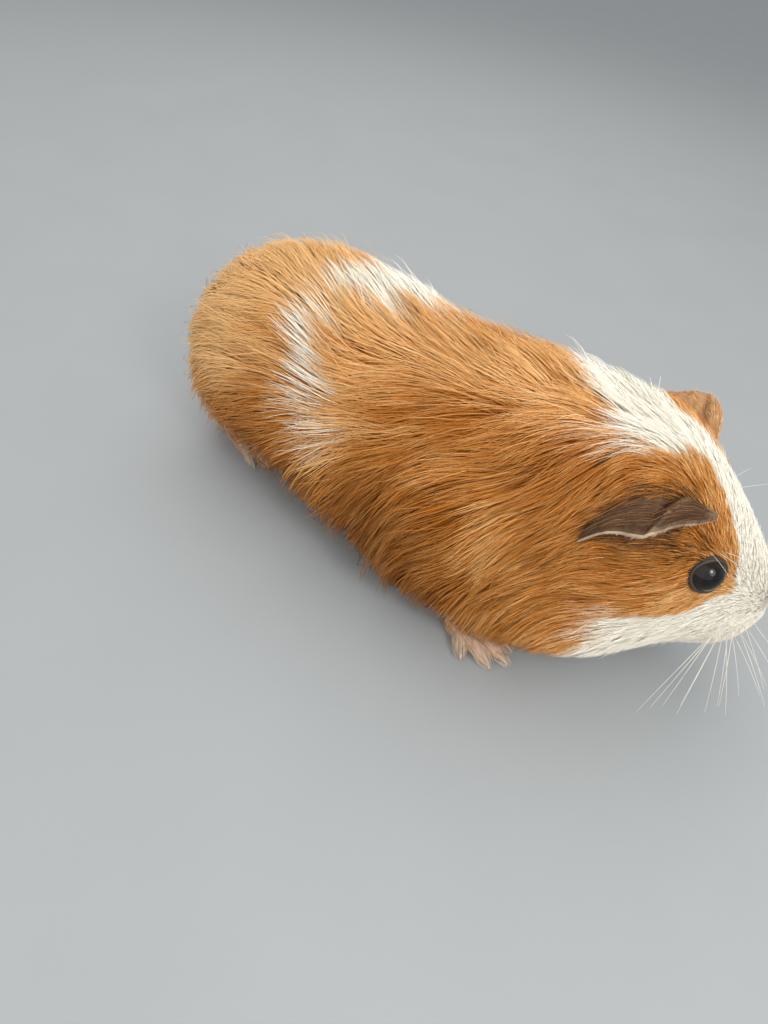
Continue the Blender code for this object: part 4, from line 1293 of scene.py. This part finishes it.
def foot_hair(end, side):
    """Short hair round a leg, over a foot's top and sides and along its toes, to the claws.

    Each hair runs along the middle line of shin, sole or toe, kept off it by that part's
    own half width and half height, and lifts a little on the way: a tube followed at one
    angle round it. Pale on the toes, the coat's orange above.
    """
    t = np.linspace(0, 1, 4)
    shin, thick = shin_line(end, side)
    #  middle line, half width, half height, number, how far round, length, width, white, soot
    tubes = [(shin, thick, thick, 260, math.pi, 4.0, 0.20, 0.05, 0.15),
             (*sole_line(end, side), 620, 1.9, 3.8, 0.20, 0.16, 0.20)]
    way = np.linspace(-0.4, 1.5, 8)                # from behind a toe's root to past its tip
    for toe in TOES[end]:
        radius = toe[4] * (1.0 - 0.72 * ramp(way, 0.85, 1.6))
        tubes.append((toe_path(end, side, toe, way), radius, radius, 300, 1.8, 2.9, 0.13, 0.50, 0.14))
    batches = []
    for line, wide, high, count, turned, length, width, pale, soot_and_shade in tubes:
        run = line[-1] - line[0]
        ahead = unit(run)
        aside = unit(np.cross(UP, ahead * (1, 1, 0)))
        above = unit(np.cross(ahead, aside))
        reach = np.minimum(length * RNG.uniform(0.7, 1.3, count) / np.linalg.norm(run), 0.5)
        start = (0.5 if turned == math.pi else 0.0) * (1 - reach)    # a leg is hairy below only
        place = (start + RNG.random(count) * (1 - reach - start))[:, None] + reach[:, None] * t
        angle = RNG.uniform(-turned, turned, count)[:, None]
        out = np.sin(angle)[..., None] * aside + np.cos(angle)[..., None] * above
        lift = 0.2 * length * RNG.uniform(0.1, 1.0, count)[:, None] * np.sin(math.pi * t * 0.7)
        knots = np.linspace(0, 1, len(line))
        across = np.sin(angle) * (np.interp(place, knots, wide) + lift)
        over = np.cos(angle) * (np.interp(place, knots, high) + lift)
        path = along_line(line, place) + across[..., None] * aside + over[..., None] * above
        path[..., 2] = np.maximum(path[..., 2], 0.35)
        tuft = np.stack([RNG.normal(pale, 0.12, count).clip(0, 1),
                         RNG.normal(0.50, 0.26, count).clip(0, 1), np.zeros(count),
                         RNG.uniform(0.0, 1.6 * soot_and_shade, count)], axis=1)
        batches.append((path, np.repeat(out, 4, axis=1), tuft, width * RNG.uniform(0.8, 1.2, count)))
    short_coat(f"coat_{end}foot_{side}", batches)


HIGH_WHISKERS = [(7.0, 3.5, 50, 6, 17.0), (9.5, 4.0, 38, 9, 16.0)]    # over the left ones
WHISKER_SAG = 0.11                   # fall over the length, as the square of the way along


def whiskers():
    """Whiskers in rows on both sides of the muzzle, a few brow hairs: fine sagging bars.

    Each row gives how far back the root lies, how low, how many degrees the whisker
    points ahead of straight out, how many it rises, and its length.
    """
    told = [(5.0 + 2.4 * place + 0.4 * level, -1.5 - 2.4 * level, 32 - 19 * place - 2 * level,
             4 - 5 * level, 22 + 4.5 * place - 1.5 * level) for level in range(4) for place in range(4)]
    rows = []
    for side, sign in SIDES.items():
        sideways = LEFTWARD * sign
        extra = HIGH_WHISKERS if side == "left" else []
        for back, low, ahead, rise, length in told + extra:
            root = from_nose((back, 4.6 + 0.55 * back, low), sign)
            ahead = math.radians(ahead + RNG.uniform(-6, 6))
            rise = math.radians(rise + RNG.uniform(-5, 5))
            flat = sideways * math.cos(ahead) + FORWARD * math.sin(ahead)
            way = flat * math.cos(rise) + UP * math.sin(rise)
            rows.append((root, way, length * RNG.uniform(0.85, 1.1), 0.10))
        middle, radius, _, long_way, short_way = EYES[side]
        for number in range(3):
            ahead = math.radians(20 + 22 * number)
            way = sideways * math.cos(ahead) + FORWARD * math.sin(ahead) + 0.35 * UP
            root = middle + short_way * (radius + 0.6) + long_way * (number - 1.0) * 2.0
            rows.append((root, unit(way), 12.0 + 2 * number, 0.06))
    for number, (root, way, length, thick) in enumerate(rows):
        s = np.linspace(0, 1, 12)[:, None]
        path = root + way * length * s - WHISKER_SAG * UP * length * s**2
        path[:, 2] = np.maximum(path[:, 2], 1.0)
        taper = thick * (1 - s[:, 0]) ** 0.8 + 0.03
        rows[number] = bar(f"whisker {number}", path, taper, WHISKER, turns=5)
    piece = joined("whiskers", rows)
    piece.data.shade_smooth()
    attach(piece, "root")


# ---------------------------------------------------------------- stage

FLOOR_REACH, FLOOR_THICK = 2500.0, 6.0
CAMERA_AT = np.array([78.08, -171.16, 173.61])       # millimetres from the frame's origin
CAMERA_TURN = math.radians(29.68)                    # to the left of straight across
CAMERA_DOWN = math.radians(42.916)
CAMERA_ROLL = math.radians(11.947)
CAMERA_LENS = 33.94                                  # on a sensor 36 wide
# Soft round lamps: name, place, width across, power, colour.
LAMPS = (("key", (-220, 240, 700), 1000, 3.4, (1.0, 0.98, 0.94)),
         ("front", (160, -620, 270), 1400, 3.2, (1.0, 0.97, 0.92)),
         ("side", (560, -300, 520), 460, 1.8, (1.0, 0.98, 0.94)),
         ("glint", (332, -186, 353), 80, 0.35, (1.0, 1.0, 1.0)))


def set_down(name, data, place, axes):
    """New object at a place in millimetres, its own three axes given as directions."""
    made = shown(name, data)
    turn = Matrix(np.stack(axes, axis=1).tolist()).to_4x4()
    made.matrix_world = Matrix.Translation((np.array(place, float) * MM).tolist()) @ turn
    return made


def stage():
    """Pale floor, soft sky, the lamps, each turned to the frame's origin, and the camera."""
    corner = FLOOR_REACH * np.array([[-1, -1, 0], [1, -1, 0], [1, 1, 0], [-1, 1, 0]])
    faces = [(0, 3, 2, 1), (4, 5, 6, 7), (0, 1, 5, 4), (1, 2, 6, 5), (2, 3, 7, 6), (3, 0, 4, 7)]
    floor = solid("floor", np.vstack([corner - FLOOR_THICK * UP, corner]), faces, FLOOR)

    world = bpy.data.worlds.new("Soft sky")
    world.use_nodes = True
    background = world.node_tree.nodes["Background"]
    background.inputs["Color"].default_value = (0.98, 0.99, 1.0, 1.0)
    background.inputs["Strength"].default_value = 0.68
    bpy.context.scene.world = world

    for name, place, across, power, colour in LAMPS:
        data = bpy.data.lights.new(name, "AREA")
        data.shape = "DISK"
        data.size = across * MM
        data.energy = power
        data.color = colour
        away = unit(np.array(place, float))
        side = unit(np.cross(UP, away))
        set_down(name, data, place, (side, np.cross(away, side), away))

    right = np.array([math.cos(CAMERA_TURN), math.sin(CAMERA_TURN), 0.0])
    forward = np.array([-math.sin(CAMERA_TURN), math.cos(CAMERA_TURN), 0.0])
    look = forward * math.cos(CAMERA_DOWN) - UP * math.sin(CAMERA_DOWN)
    under = -forward * math.sin(CAMERA_DOWN) - UP * math.cos(CAMERA_DOWN)
    across = right * math.cos(CAMERA_ROLL) - under * math.sin(CAMERA_ROLL)
    down = right * math.sin(CAMERA_ROLL) + under * math.cos(CAMERA_ROLL)
    data = bpy.data.cameras.new("camera")
    data.sensor_fit = "HORIZONTAL"
    data.sensor_width = 36.0
    data.lens = CAMERA_LENS
    data.clip_start = 0.01
    bpy.context.scene.camera = set_down("camera", data, CAMERA_AT, (across, -down, -look))
    bpy.context.scene.view_settings.view_transform = "Standard"


stage()
make_skin()
for side_name in SIDES:
    eyeball(side_name)
    for end_name in ENDS:
        for toe_number, toe_row in enumerate(TOES[end_name], 1):
            claw(end_name, side_name, toe_number, toe_row)
    ear_hair(side_name)
    for end_name in ENDS:
        foot_hair(end_name, side_name)
whiskers()
for length_row in COAT_LENGTHS:
    coat(*length_row)
